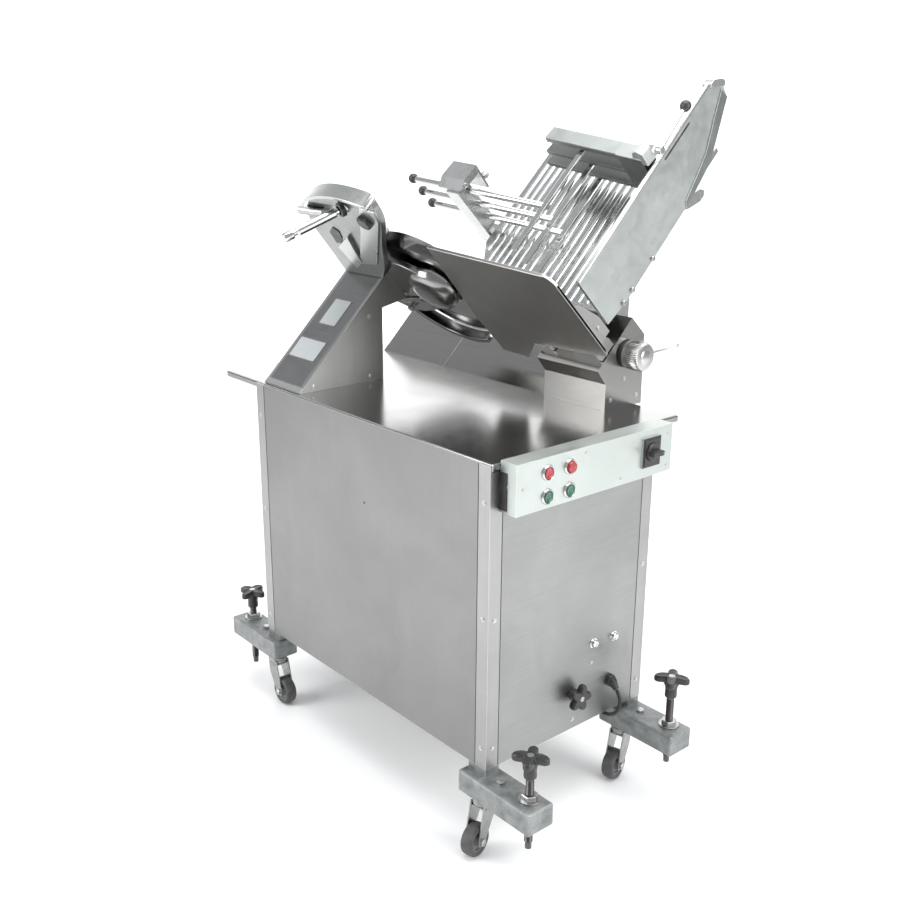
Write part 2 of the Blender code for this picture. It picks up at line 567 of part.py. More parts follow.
def sharpener(head):
    """Cast bracket on the tower with the hood over the two stones, and its feed rod."""
    cast = material("sharpener_cast", CAST, 0.3)
    outline = [(-0.222, 0.1785), (-0.178, 0.220), (-0.110, 0.300), (-0.050, 0.365), (-0.030, 0.400),
               (-0.022, 0.430), (-0.046, 0.446), (-0.130, 0.458), (-0.200, 0.444), (-0.250, 0.418),
               (-0.292, 0.384), (-0.322, 0.330), (-0.340, 0.260), (-0.362, 0.1785)]
    body = finish(prism_mesh(outline, -0.0460, -0.0283, "y"), "sharpener_bracket", cast, head)
    hood = [(-0.019, 0.434), (-0.046, 0.442), (-0.082, 0.450), (-0.130, 0.454), (-0.175, 0.449), (-0.215, 0.437),
            (-0.253, 0.418), (-0.258, 0.424), (-0.2185, 0.4445), (-0.176, 0.457), (-0.130, 0.462), (-0.081, 0.458),
            (-0.044, 0.450), (-0.016, 0.441)]
    join(body, prism_mesh(hood, -0.0600, -0.0260, "y"), head)
    inward = Vector(SHARPENER_DIR).normalized()
    cut(body, rod_mesh(0.0115, -0.0135, 0.06, 20), head, along(SHARPENER_BASE, inward))
    steel = material("rod_steel", CAST, 0.15)
    profile = [(0, 0), (0.006, 0), (0.006, 0.014), (0.0098, 0.016), (0.0098, 0.100), (0.006, 0.103), (0.006, 0.109),
               (0.0098, 0.112), (0.0098, 0.129), (0.008, 0.132), (0, 0.132)]
    place = along(SHARPENER_BASE, inward)
    finish(turned_mesh(profile, 20), "sharpener_rod", steel, head, place, smooth=True)


# ---- head: carriage and chute -------------------------------------------------------------
def carriage(root, slide):
    steel = material("carriage_cast", CAST, 0.4)
    outline = [(0.307, 0.840), (0.336, 0.840), (0.338, 1.020), (0.3285, 1.1274), (0.2445, 1.0430), (0.275, 1.006),
               (0.307, 0.985)]
    finish(prism_mesh(outline, 0.050, 0.200, "x"), "carriage", steel, slide)


def chute(slide_head):
    """Floor and side wall of the chute."""
    steel = material("chute_steel", CAST, 0.2)
    pale = material("chute_wall_steel", PALE, 0.35)
    outline = [(WALL_X - GAP, 0.060), (WALL_X - GAP, 0.500), (-0.185, 0.500), (-0.190, 0.190), (-0.150, 0.130),
               (-0.050, 0.060)]
    finish(prism_mesh(outline, FLOOR_U - 0.012, FLOOR_U, "z"), "chute_floor", steel, slide_head)
    wall = [(0.045, 0.020), (0.045, 0.145), (0.548, 0.150), (0.585, 0.128), (0.578, 0.092), (0.460, 0.030),
            (0.360, 0.016), (0.120, 0.012)]
    finish(prism_mesh(wall, WALL_X, WALL_X + 0.008, "x"), "chute_wall", pale, slide_head)


def pusher(slide_head):
    """Three toothed bars on one block, over the guide bars, and its clamp lever."""
    dark = material("pusher_steel", (0.40, 0.41, 0.41, 1), 0.35)
    back, front = 0.2620, 0.190
    outline = [(back, BAR_LEVELS[0] + 0.004)]
    for level, left in zip(BAR_LEVELS, (-0.100, -0.070, -0.040)):
        outline += [(left, level + 0.004), (left, level + 0.016), (front, level + 0.016)]
        if level != BAR_LEVELS[-1]:
            outline += [(front, level + 0.046)]
    outline += [(front, 0.195), (0.2762, 0.195), (0.2762, 0.158), (back, 0.158)]
    place = Matrix.Translation((0, 0.382, 0)) @ Matrix.Rotation(PUSHER_TURN, 4, "Z")
    finish(prism_mesh(outline, -0.012, 0.020, "y"), "pusher", dark, slide_head, place)
    black = material("clamp_black", BLACK, 0.4, 0.3)
    spot = Matrix.Translation((0.2855, 0.356, 0.172)) @ Matrix.Rotation(radians(4), 4, "X")
    lever = finish(rod_mesh(0.0045, 0.0, 0.105, 12), "clamp_lever", black, slide_head,
                   spot @ Matrix.Rotation(radians(-90), 4, "X"))
    join(lever, ball_mesh(0.0115), slide_head, spot @ Matrix.Translation((0, 0.108, 0)))
    join(lever, rod_mesh(0.008, -0.008, 0.008, 16), slide_head, spot @ Matrix.Rotation(radians(90), 4, "Y"))


def ball_mesh(radius):
    bm = bmesh.new()
    bmesh.ops.create_uvsphere(bm, u_segments=16, v_segments=10, radius=radius)
    return bm


def fence_frame():
    return Matrix.Translation((-0.175, 0.238, 0)) @ Matrix.Rotation(FENCE_TURN, 4, "Z")


def fence(slide_head):
    """Bracket outside the chute's left edge, hooded, bored for the three guide rods."""
    steel = material("fence_cast", CAST, 0.25)
    place = fence_frame()
    post = [(-0.026, -0.005), (-0.019, -0.005), (-0.019, 0.035), (0.012, 0.035), (0.012, 0.162), (-0.026, 0.162)]
    body = finish(prism_mesh(post, -0.070, -0.024, "x"), "fence", steel, slide_head, place)
    foot = box_mesh((-0.070, 0.020), (-0.026, 0.012), (0.004, FLOOR_U - 0.012 - GAP))
    join(body, foot, slide_head, place)
    hood = [(-0.020, 0.160), (0.041, 0.160), (0.038, 0.116), (0.043, 0.115), (0.048, 0.178), (0.003, 0.178),
            (-0.020, 0.166)]
    join(body, prism_mesh(hood, -0.100, -0.015, "x"), slide_head, place)
    for level in BAR_LEVELS:
        turn = Matrix.Translation((0, 0, level - ROD_DROP)) @ Matrix.Rotation(radians(90), 4, "Y")
        cut(body, rod_mesh(ROD_R + GAP, -0.11, -0.005, 16), slide_head, place @ turn)


def side_guides(slide_head):
    """Three flat bars along the chute, each on a cross rod with a ball end."""
    steel = material("guide_steel", CAST, 0.2)
    place = fence_frame()
    for name, level in zip(("low", "middle", "high"), BAR_LEVELS):
        bar = finish(box_mesh((BAR_X - 0.007, BAR_X + 0.007), (0.092, 0.372), (level - 0.002, level + 0.002)),
                     "side_guide_" + name, steel, slide_head)
        turn = place @ Matrix.Translation((0, 0, level - ROD_DROP)) @ Matrix.Rotation(radians(90), 4, "Y")
        join(bar, rod_mesh(ROD_R, -0.240, 0.247, 14), slide_head, turn)
        join(bar, ball_mesh(0.012), slide_head, turn @ Matrix.Translation((0, 0, -0.240)))


# ---- assembly -----------------------------------------------------------------------------
def centre_on_floor(root):
    """Stand the machine, without its lead, centred on the origin."""
    bpy.context.view_layer.update()
    loose = ("power_cord", "cord_coil", "power_plug")
    low, high = Vector((9, 9, 9)), Vector((-9, -9, -9))
    graph = bpy.context.evaluated_depsgraph_get()
    for obj in bpy.data.objects:
        if obj.type != "MESH" or obj.hide_render or obj.name in loose:
            continue
        for corner in obj.evaluated_get(graph).data.vertices:
            spot = obj.matrix_world @ corner.co
            low = Vector(map(min, low, spot))
            high = Vector(map(max, high, spot))
    root.location = (-(low.x + high.x) / 2, -(low.y + high.y) / 2, -low.z)
    bpy.context.view_layer.update()


def build():
    clear_scene()
    root = empty("machine")
    head = empty("head_frame", root, Matrix.Translation(HEAD_O) @ Matrix.Rotation(HEAD_TILT, 4, "X"))
    slide = empty("carriage_slide", root)
    slide_head = empty("carriage_head", head)
    corner_posts(root)
    cabinet_panels(root)
    bottom_tray(root)
    worktop(root)
    control_box(root)
    push_buttons(root)
    cam_switch(root)
    tension_knob(root)
    outrigger_beams(root)
    casters(root)
    levellers(root)
    mains_lead(root)
    blade_tower(root)
    guide_housing(root)
    blade_motor(root)
    carriage_motor(root)
    blade(head)
    blade_gearbox(head)
    gauge_plate(head)
    thickness_dial(root)
    sharpener(head)
    carriage(root, slide)
    chute(slide_head)
    pusher(slide_head)
    fence(slide_head)
    side_guides(slide_head)
    centre_on_floor(root)


build()
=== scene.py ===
import math
import bpy
import bmesh
from mathutils import Matrix, Quaternion, Vector


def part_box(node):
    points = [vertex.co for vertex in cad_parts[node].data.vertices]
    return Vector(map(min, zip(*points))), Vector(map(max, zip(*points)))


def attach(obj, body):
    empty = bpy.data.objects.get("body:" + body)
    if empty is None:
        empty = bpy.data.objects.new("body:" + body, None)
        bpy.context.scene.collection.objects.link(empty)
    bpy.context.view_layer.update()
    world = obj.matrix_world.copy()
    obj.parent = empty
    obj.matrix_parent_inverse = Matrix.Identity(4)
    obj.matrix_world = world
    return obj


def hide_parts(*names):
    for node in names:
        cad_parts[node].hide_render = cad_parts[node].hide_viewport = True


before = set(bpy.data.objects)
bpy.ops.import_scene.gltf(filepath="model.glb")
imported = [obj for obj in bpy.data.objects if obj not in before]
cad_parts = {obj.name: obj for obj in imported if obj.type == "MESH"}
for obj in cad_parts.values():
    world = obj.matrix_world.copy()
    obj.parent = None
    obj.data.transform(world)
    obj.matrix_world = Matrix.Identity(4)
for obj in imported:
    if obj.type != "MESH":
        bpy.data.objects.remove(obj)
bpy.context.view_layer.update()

# ---- Viewpoint ----------------------------------------------------------------------------
# The machine is laid out from the middle of its cabinet, the way it was fabricated.
# HOME carries cabinet measurements into the frame, and the viewer stands off the near corner.
front_low, front_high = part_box("front_panel")
HOME = Matrix.Translation(((front_low[0] + front_high[0]) / 2, front_low[1] + 0.218, front_low[2] - 0.214))
camera = bpy.data.objects.new("viewpoint", bpy.data.cameras.new("viewpoint"))
bpy.context.scene.collection.objects.link(camera)
bpy.context.scene.camera = camera
camera.data.lens = 43.76
camera.data.sensor_width = 36
turn, drop = math.radians(49.64), math.radians(17.39)
back = Vector((math.sin(turn) * math.cos(drop), -math.cos(turn) * math.cos(drop), math.sin(drop)))
camera.rotation_mode = "QUATERNION"
camera.rotation_quaternion = (-back).to_track_quat("-Z", "Y") @ Quaternion((0, 0, 1), math.radians(0.27))
camera.location = HOME @ Vector((1.6899, -1.4174, 1.3962))

# ---- Mains lead ---------------------------------------------------------------------------
# Some 2.6 m of black rubber-sheathed flex, 8 mm thick.  It leaves the gland in a short loop,
# runs under the cabinet, and its spare length lies coiled behind.
lead_route = ((0.4087, 0.118, 0.2713), (0.4168, 0.118, 0.2581), (0.419, 0.1178, 0.2418),
    (0.414, 0.1174, 0.2261), (0.4029, 0.1168, 0.214), (0.3909, 0.116, 0.2084), (0.38, 0.115, 0.2066),
    (0.355, 0.113, 0.2045), (0.33, 0.111, 0.204), (0.3, 0.11, 0.2043), (0.26, 0.113, 0.203),
    (0.2, 0.122, 0.199), (0.12, 0.137, 0.197), (0.04, 0.15, 0.199), (-0.02, 0.1595, 0.203),
    (-0.06, 0.165, 0.2043), (-0.1, 0.172, 0.202), (-0.15, 0.19, 0.188), (-0.195, 0.215, 0.154),
    (-0.22, 0.238, 0.113), (-0.232, 0.26, 0.075), (-0.236, 0.285, 0.048), (-0.2385, 0.315, 0.036),
    (-0.24, 0.35, 0.0343), (-0.244, 0.385, 0.0343), (-0.2505, 0.412, 0.0343))


def through(points, step):
    """A smooth curve through the points, sampled about every step."""
    ends = [points[0] * 2 - points[1]] + list(points) + [points[-1] * 2 - points[-2]]
    line = []
    for a, b, c, d in zip(ends, ends[1:], ends[2:], ends[3:]):
        count = max(2, round((c - b).length / step))
        for k in range(count):
            s = k / count
            line.append(0.5 * (2 * b + (c - a) * s + (2 * a - 5 * b + 4 * c - d) * s * s
                + (3 * b - a - 3 * c + d) * s ** 3))
    return line + [points[-1]]


coil_middle = Vector((-0.3066, 0.444, 0))
winding = []
for k in range(16, 162):
    lap = k / 28
    inward = min(max(lap - 0.25, 0) / 2, 1)
    outward = min(max(lap - 3.25, 0) / 2, 1)
    radius = 0.0544 - 0.0174 * inward + 0.0174 * outward
    height = 0.0343 + 0.0087 * min(max((lap - 2.25) / 0.4, 0), 1)
    angle = math.radians(-205) + math.tau * lap
    winding.append(coil_middle + Vector((radius * math.cos(angle), radius * math.sin(angle), height)))
tail = [Vector(p) for p in ((-0.372, 0.519, 0.04), (-0.395, 0.5105, 0.043), (-0.4055, 0.495, 0.047),
    (-0.4066, 0.48, 0.048))]
lead_line = through([Vector(p) for p in lead_route] + winding + tail, 0.006)
lead_curve = bpy.data.curves.new("mains_lead", "CURVE")
lead_curve.dimensions = "3D"
lead_curve.bevel_depth = 0.004
lead_curve.bevel_resolution = 4
lead_curve.use_fill_caps = True
spline = lead_curve.splines.new("POLY")
spline.points.add(len(lead_line) - 1)
for place, point in zip(spline.points, lead_line):
    place.co = (*(HOME @ point), 1)
lead = bpy.data.objects.new("mains_lead", lead_curve)
bpy.context.scene.collection.objects.link(lead)


def surface(name, colour, rough, metal):
    """A Principled material, handed back with its nodes and links ready for wiring."""
    mat = bpy.data.materials.new(name)
    mat.use_nodes = True
    nodes, links = mat.node_tree.nodes, mat.node_tree.links
    shader = nodes["Principled BSDF"]
    shader.inputs["Base Color"].default_value = (*colour, 1)
    shader.inputs["Roughness"].default_value = rough
    shader.inputs["Metallic"].default_value = metal
    return mat, nodes, links, shader


def new_group(name, inputs, outputs):
    """An empty shader group with named sockets; each is (name, socket type, default)."""
    group = bpy.data.node_groups.new(name, "ShaderNodeTree")
    for label, kind, value in inputs:
        socket = group.interface.new_socket(label, in_out="INPUT", socket_type=kind)
        if value is not None:
            socket.default_value = value
    for label, kind in outputs:
        group.interface.new_socket(label, in_out="OUTPUT", socket_type=kind)
    return group, group.nodes, group.links, group.nodes.new("NodeGroupInput"), group.nodes.new("NodeGroupOutput")


def math_node(nodes, links, how, *feeds, clamp=False):
    """A Math node whose inputs are numbers or other sockets."""
    node = nodes.new("ShaderNodeMath")
    node.operation = how
    node.use_clamp = clamp
    for socket, feed in zip(node.inputs, feeds):
        if isinstance(feed, (int, float)):
            socket.default_value = feed
        else:
            links.new(feed, socket)
    return node.outputs[0]


def blend_colours(nodes, links, share, first, second):
    """A colour mix; share, first and second are values or sockets."""
    node = nodes.new("ShaderNodeMix")
    node.data_type = "RGBA"
    for index, feed in ((0, share), (6, first), (7, second)):
        if isinstance(feed, bpy.types.NodeSocket):
            links.new(feed, node.inputs[index])
        elif index == 0:
            node.inputs[0].default_value = feed
        else:
            node.inputs[index].default_value = (*feed, 1)
    return node.outputs[2]


# The grit group: soft patches and fine specks, which rubber, plastic and castings share.
grit, g_nodes, g_links, g_in, g_out = new_group("grit", [("Patch Scale", "NodeSocketFloat", 20.0),
    ("Speck Scale", "NodeSocketFloat", 600.0)], [("Patches", "NodeSocketFloat"),
    ("Specks", "NodeSocketFloat")])
g_where = g_nodes.new("ShaderNodeTexCoord")
for socket_name, detail in (("Patch", 4.0), ("Speck", 2.0)):
    g_noise = g_nodes.new("ShaderNodeTexNoise")
    g_noise.inputs["Detail"].default_value = detail
    g_links.new(g_where.outputs["Object"], g_noise.inputs["Vector"])
    g_links.new(g_in.outputs[socket_name + " Scale"], g_noise.inputs["Scale"])
    g_spread = g_nodes.new("ShaderNodeMapRange")
    g_spread.inputs["From Min"].default_value = 0.32
    g_spread.inputs["From Max"].default_value = 0.68
    g_links.new(g_noise.outputs["Fac"], g_spread.inputs["Value"])
    g_links.new(g_spread.outputs["Result"], g_out.inputs[socket_name
        + ("es" if socket_name == "Patch" else "s")])


def speckled(nodes, patch, speck=600.0):
    """The grit group, placed in a material."""
    node = nodes.new("ShaderNodeGroup")
    node.node_tree = grit
    node.inputs["Patch Scale"].default_value = patch
    node.inputs["Speck Scale"].default_value = speck
    return node


def relief(nodes, links, shader, height, strength, depth):
    """Bump the shader by a height mask."""
    bump = nodes.new("ShaderNodeBump")
    bump.inputs["Strength"].default_value = strength
    bump.inputs["Distance"].default_value = depth
    links.new(height, bump.inputs["Height"])
    links.new(bump.outputs["Normal"], shader.inputs["Normal"])


def moulded(name, colour, rough=0.45, patch=30.0, speck=900.0, depth=0.00006, dust=(0.1, 0.1, 0.095),
    metal=0.0):
    """Rubber, plastic, paint or casting: patchy tone, a fine pebble and a little pale dust."""
    mat, nodes, links, shader = surface(name, colour, rough, metal)
    speckle = speckled(nodes, patch, speck)
    share = math_node(nodes, links, "MULTIPLY", speckle.outputs["Patches"], 0.35)
    links.new(blend_colours(nodes, links, share, colour, dust), shader.inputs["Base Color"])
    uneven = math_node(nodes, links, "MULTIPLY_ADD", speckle.outputs["Patches"], 0.14, rough - 0.05)
    links.new(uneven, shader.inputs["Roughness"])
    relief(nodes, links, shader, speckle.outputs["Specks"], 0.5, depth)
    return mat


flex_rubber = moulded("flex_rubber", (0.012, 0.012, 0.013), 0.42, 60, 1400, 0.00004, (0.03, 0.03, 0.03))
lead_curve.materials.append(flex_rubber)
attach(lead, "frame")
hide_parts("power_cord", "cord_coil")


# ---- Plug, coil tie and gland -------------------------------------------------------------
# The moulded plug has a finger-ribbed body and two plated pins; a hook tie holds the coil.
# The gland is a nylon body, a ribbed cap nut and a tapered sleeve that eases the flex out.
def at(point, degrees=0, axis="Z"):
    """A move to the point, then a turn about an axis there."""
    return Matrix.Translation(point) @ Matrix.Rotation(math.radians(degrees), 4, axis)


def add_lathe(bm, profile, place=None, steps=32):
    """Spin (radius, height) pairs round Z into the mesh; a radius of 0 closes the end."""
    place = place or Matrix()
    rings = []
    for radius, height in profile:
        count = 1 if radius == 0 else steps
        rings.append([bm.verts.new(place @ Vector((radius * math.cos(math.tau * k / steps),
            radius * math.sin(math.tau * k / steps), height))) for k in range(count)])
    for low, high in zip(rings, rings[1:]):
        for k in range(steps):
            n = (k + 1) % steps
            corners = (low[k % len(low)], low[n % len(low)], high[n % len(high)], high[k % len(high)])
            face = list(dict.fromkeys(corners))
            if len(face) > 2:
                bm.faces.new(face)


def add_slab(bm, outline, low, high, axis="z", place=None):
    """Extrude a flat outline along an axis; its pairs are the other two axes in order."""
    place = place or Matrix()
    order = {"x": lambda p, q, r: (r, p, q), "y": lambda p, q, r: (p, r, q), "z": lambda p, q,
        r: (p, q, r)}[axis]
    lower = [bm.verts.new(place @ Vector(order(p, q, low))) for p, q in outline]
    upper = [bm.verts.new(place @ Vector(order(p, q, high))) for p, q in outline]
    bm.faces.new(lower)
    bm.faces.new(upper)
    for k in range(len(outline)):
        n = (k + 1) % len(outline)
        bm.faces.new((lower[k], lower[n], upper[n], upper[k]))


def add_block(bm, x, y, z, place=None):
    add_slab(bm, [(x[0], y[0]), (x[1], y[0]), (x[1], y[1]), (x[0], y[1])], z[0], z[1], "z", place)


def finish_piece(bm, name, mat, body, place=None, nodes=(), edge=0.0006, angle=35, rounds=2):
    """Turn a mesh into a piece: edges eased, smooth where it is round, riding on its body."""
    bmesh.ops.remove_doubles(bm, verts=bm.verts, dist=0.00001)
    bmesh.ops.recalc_face_normals(bm, faces=bm.faces)
    mesh = bpy.data.meshes.new(name)
    bm.to_mesh(mesh)
    bm.free()
    piece = bpy.data.objects.new(name, mesh)
    bpy.context.scene.collection.objects.link(piece)
    mesh.materials.append(mat)
    mesh.shade_smooth()
    piece.matrix_world = place or HOME
    if edge:
        eased = piece.modifiers.new("eased", "BEVEL")
        eased.width = edge
        eased.segments = rounds
        eased.limit_method = "ANGLE"
        eased.angle_limit = math.radians(angle)
        eased.harden_normals = True
    else:
        mesh.set_sharp_from_angle(angle=math.radians(angle))
    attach(piece, body)
    if nodes:
        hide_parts(*nodes)
    return piece


def facing(point, direction):
    """A place in cabinet measurements whose Z looks along a direction."""
    return HOME @ Matrix.Translation(point) @ Vector(direction).to_track_quat("Z", "Y").to_matrix().to_4x4()


plug_place = HOME @ at((-0.4066, 0.454, 0.0483), 90, "X")
body_black = moulded("moulded_black", (0.014, 0.014, 0.015), 0.38, 40, 1100, 0.00005, (0.05, 0.05, 0.05))
bm = bmesh.new()
ribs = [(0, -0.026), (0.0062, -0.026), (0.0068, -0.021)]
for k in range(5):
    ribs += [(0.0082 + 0.0016 * k, -0.0195 + 0.003 * k), (0.0092 + 0.0016 * k, -0.0185 + 0.003 * k),
        (0.009 + 0.0016 * k, -0.0172 + 0.003 * k)]
ribs += [(0.017, -0.003), (0.0172, 0.016), (0.0165, 0.019), (0, 0.0195)]
add_lathe(bm, ribs, steps=40)
plug = finish_piece(bm, "mains_plug", body_black, "frame", plug_place, ("power_plug",), 0.0004, 50)
pin_metal, nodes, links, shader = surface("plated_pins", (0.7, 0.68, 0.62), 0.22, 1.0)
bm = bmesh.new()
for side in (-0.0095, 0.0095):
    add_lathe(bm, [(0, 0.018), (0.0024, 0.018), (0.0024, 0.0375), (0.0016, 0.039), (0, 0.039)],
        at((side, 0, 0)), 20)
pins = finish_piece(bm, "plug_pins", pin_metal, "frame", plug_place, edge=0.0002)
bm = bmesh.new()
add_slab(bm, [(-0.0135 - 0.0018, -0.001), (0.0135 + 0.0018, -0.001), (0.0135 + 0.0018, 0.019),
    (-0.0153, 0.019)], -0.008, 0.008, "y", at((0.046, 0, 0)))
tie = finish_piece(bm, "coil_tie", body_black, "frame", HOME @ at((*coil_middle.xy, 0.0312), 150,
    "Z"), edge=0.002, rounds=4)

bm = bmesh.new()
add_lathe(bm, [(0, -0.012), (0.0075, -0.012), (0.0075, 0), (0.0125, 0), (0.0125, 0.0075), (0.0112, 0.0095),
    (0, 0.0125)], at((0.3863, 0.118, 0.286), 90, "Y"), 12)
add_lathe(bm, [(0, -0.004), (0.0102, -0.004), (0.0102, 0.005), (0.0092, 0.0065), (0.0092, 0.008),
    (0.008, 0.0095), (0.008, 0.0112), (0.0072, 0.0125), (0.0064, 0.019), (0.0052, 0.0195), (0, 0.0195)],
    at((0.394, 0.118, 0.286), 135, "Y"), 24)
finish_piece(bm, "flex_gland", body_black, "frame", None, ("cord_gland",), 0.0004, 25)


# ---- Brushed and polished stainless -------------------------------------------------------
# The cabinet sheets are satin stainless, brushed one way and wiped down many times, so the
# grain is fine and straight and the sheen is broken by cloudy smears and a few scratches.
brushed, g_nodes, g_links, g_in, g_out = new_group("brushed_grain", [("Stretch", "NodeSocketVector",
    (1.0, 1.0, 1.0)), ("Cloud Scale", "NodeSocketFloat", 5.0)], [("Grain", "NodeSocketFloat"),
    ("Clouds", "NodeSocketFloat"), ("Scratches", "NodeSocketFloat")])
g_where = g_nodes.new("ShaderNodeTexCoord")
g_stretch = g_nodes.new("ShaderNodeVectorMath")
g_stretch.operation = "MULTIPLY"
g_links.new(g_where.outputs["Object"], g_stretch.inputs[0])
g_links.new(g_in.outputs["Stretch"], g_stretch.inputs[1])
g_grain = g_nodes.new("ShaderNodeTexNoise")
g_grain.inputs["Scale"].default_value = 1.0
g_grain.inputs["Detail"].default_value = 5.0
g_grain.inputs["Roughness"].default_value = 0.65
g_links.new(g_stretch.outputs[0], g_grain.inputs["Vector"])
g_links.new(g_grain.outputs["Fac"], g_out.inputs["Grain"])
g_cloud = g_nodes.new("ShaderNodeTexNoise")
g_cloud.inputs["Detail"].default_value = 6.0
g_cloud.inputs["Roughness"].default_value = 0.6
g_cloud.inputs["Distortion"].default_value = 0.6
g_links.new(g_where.outputs["Object"], g_cloud.inputs["Vector"])
g_links.new(g_in.outputs["Cloud Scale"], g_cloud.inputs["Scale"])
g_spread = g_nodes.new("ShaderNodeMapRange")
g_spread.inputs["From Min"].default_value = 0.35
g_spread.inputs["From Max"].default_value = 0.7
g_links.new(g_cloud.outputs["Fac"], g_spread.inputs["Value"])
g_links.new(g_spread.outputs["Result"], g_out.inputs["Clouds"])
g_cell = g_nodes.new("ShaderNodeTexVoronoi")
g_cell.feature = "DISTANCE_TO_EDGE"
g_cell.inputs["Scale"].default_value = 9.0
g_bend = g_nodes.new("ShaderNodeVectorMath")
g_bend.operation = "MULTIPLY_ADD"
g_links.new(g_cloud.outputs["Color"], g_bend.inputs[0])
g_bend.inputs[1].default_value = (0.06, 0.06, 0.06)
g_links.new(g_where.outputs["Object"], g_bend.inputs[2])
g_links.new(g_bend.outputs[0], g_cell.inputs["Vector"])
g_thin = g_nodes.new("ShaderNodeMapRange")
g_thin.inputs["From Min"].default_value = 0.0
g_thin.inputs["From Max"].default_value = 0.004
g_thin.inputs["To Min"].default_value = 1.0
g_thin.inputs["To Max"].default_value = 0.0
g_links.new(g_cell.outputs["Distance"], g_thin.inputs["Value"])
g_links.new(math_node(g_nodes, g_links, "MULTIPLY", g_thin.outputs["Result"], g_spread.outputs["Result"]),
    g_out.inputs["Scratches"])

# Rubbed edges: where a corner turns within a few millimetres, hands and cloths have brightened it.
rubbed, g_nodes, g_links, g_in, g_out = new_group("rubbed_edges", [("Sharpness", "NodeSocketFloat", 6.0)],
    [("Mask", "NodeSocketFloat")])
g_round = g_nodes.new("ShaderNodeBevel")
g_round.samples = 4
g_round.inputs["Radius"].default_value = 0.0025
g_shape = g_nodes.new("ShaderNodeNewGeometry")
g_dot = g_nodes.new("ShaderNodeVectorMath")
g_dot.operation = "DOT_PRODUCT"
g_links.new(g_round.outputs["Normal"], g_dot.inputs[0])
g_links.new(g_shape.outputs["Normal"], g_dot.inputs[1])
g_turned = math_node(g_nodes, g_links, "SUBTRACT", 1.0, g_dot.outputs["Value"])
g_links.new(math_node(g_nodes, g_links, "MULTIPLY", g_turned, g_in.outputs["Sharpness"], clamp=True),
    g_out.inputs["Mask"])


def stainless(name, colour, rough, stretch, cloud=5.0, grain=0.25, smear=0.1, mark=0.12, depth=0.00002,
    edges=0.35):
    """Stainless sheet: tone and gloss varied by grain, smears, hairline scratches and rubbed edges."""
    mat, nodes, links, shader = surface(name, colour, rough, 1.0)
    brush = nodes.new("ShaderNodeGroup")
    brush.node_tree = brushed
    brush.inputs["Stretch"].default_value = stretch
    brush.inputs["Cloud Scale"].default_value = cloud
    wear = nodes.new("ShaderNodeGroup")
    wear.node_tree = rubbed
    dark = tuple(c * (1 - grain) for c in colour)
    light = tuple(min(1, c * (1 + grain)) for c in colour)
    tone = blend_colours(nodes, links, brush.outputs["Grain"], dark, light)
    soiled = math_node(nodes, links, "MULTIPLY", brush.outputs["Clouds"], smear)
    tone = blend_colours(nodes, links, soiled, tone, tuple(c * 0.62 for c in colour))
    worn = math_node(nodes, links, "MULTIPLY", wear.outputs["Mask"], edges)
    tone = blend_colours(nodes, links, worn, tone, (0.8, 0.8, 0.79))
    links.new(tone, shader.inputs["Base Color"])
    gloss = math_node(nodes, links, "MULTIPLY_ADD", brush.outputs["Grain"], 0.5 * rough, 0.72 * rough)
    gloss = math_node(nodes, links, "MULTIPLY_ADD", brush.outputs["Clouds"], 0.35 * rough, gloss)
    gloss = math_node(nodes, links, "MULTIPLY_ADD", brush.outputs["Scratches"], mark, gloss)
    links.new(gloss, shader.inputs["Roughness"])
    relief(nodes, links, shader, brush.outputs["Grain"], 0.35, depth)
    return mat


def refinish(node_name, mat):
    """Give a carried-over piece of the frame its finish."""
    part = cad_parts[node_name]
    for place in part.material_slots:
        place.material = mat
    return part


# ---- Cabinet panels and tray --------------------------------------------------------------
# Four removable stainless sheets screwed between folded corner angles, over a folded tray.
# The long sheets are brushed upwards, the end sheets along their length.
long_sheet = stainless("long_sheet_steel", (0.25, 0.25, 0.246), 0.34, (420, 420, 6), 4.0, 0.1, 0.22)
end_sheet = stainless("end_sheet_steel", (0.31, 0.315, 0.308), 0.36, (6, 6, 260), 5.0, 0.14, 0.25)
for node_name in ("front_panel", "rear_panel"):
    refinish(node_name, long_sheet)
for node_name in ("blade_end_panel", "control_end_panel"):
    refinish(node_name, end_sheet)
tray_steel = stainless("tray_steel", (0.3, 0.3, 0.295), 0.42, (6, 300, 300), 6.0, 0.15, 0.3)
refinish("bottom_tray", tray_steel)


# ---- Corner posts and their screws --------------------------------------------------------
# Folded 3 mm stainless angles, welded to the foot plates.  The panels hang on them by small
# pan-head screws, and a dark joint shows between each sheet and its angle.
post_steel = stainless("post_steel", (0.34, 0.34, 0.335), 0.3, (260, 260, 5), 7.0, 0.12, 0.15)
for end in ("blade_end", "control_end"):
    for side in ("front", "rear"):
        refinish("corner_post_%s_%s" % (end, side), post_steel)


def add_screw(bm, place, radius=0.0042, high=0.0022):
    """A pan head with a cross recess, seated on a thin washer."""
    add_lathe(bm, [(0, 0), (radius * 1.35, 0), (radius * 1.35, 0.0006), (radius, 0.0006),
        (radius, high * 0.55), (radius * 0.82, high * 0.88), (radius * 0.45, high), (0, high * 0.96)],
        place, 20)
    for quarter in (0, 90):
        add_block(bm, (-radius * 0.55, radius * 0.55), (-radius * 0.09, radius * 0.09),
            (high * 0.8, high * 1.06), place @ at((0, 0, 0), quarter + 20, "Z"))


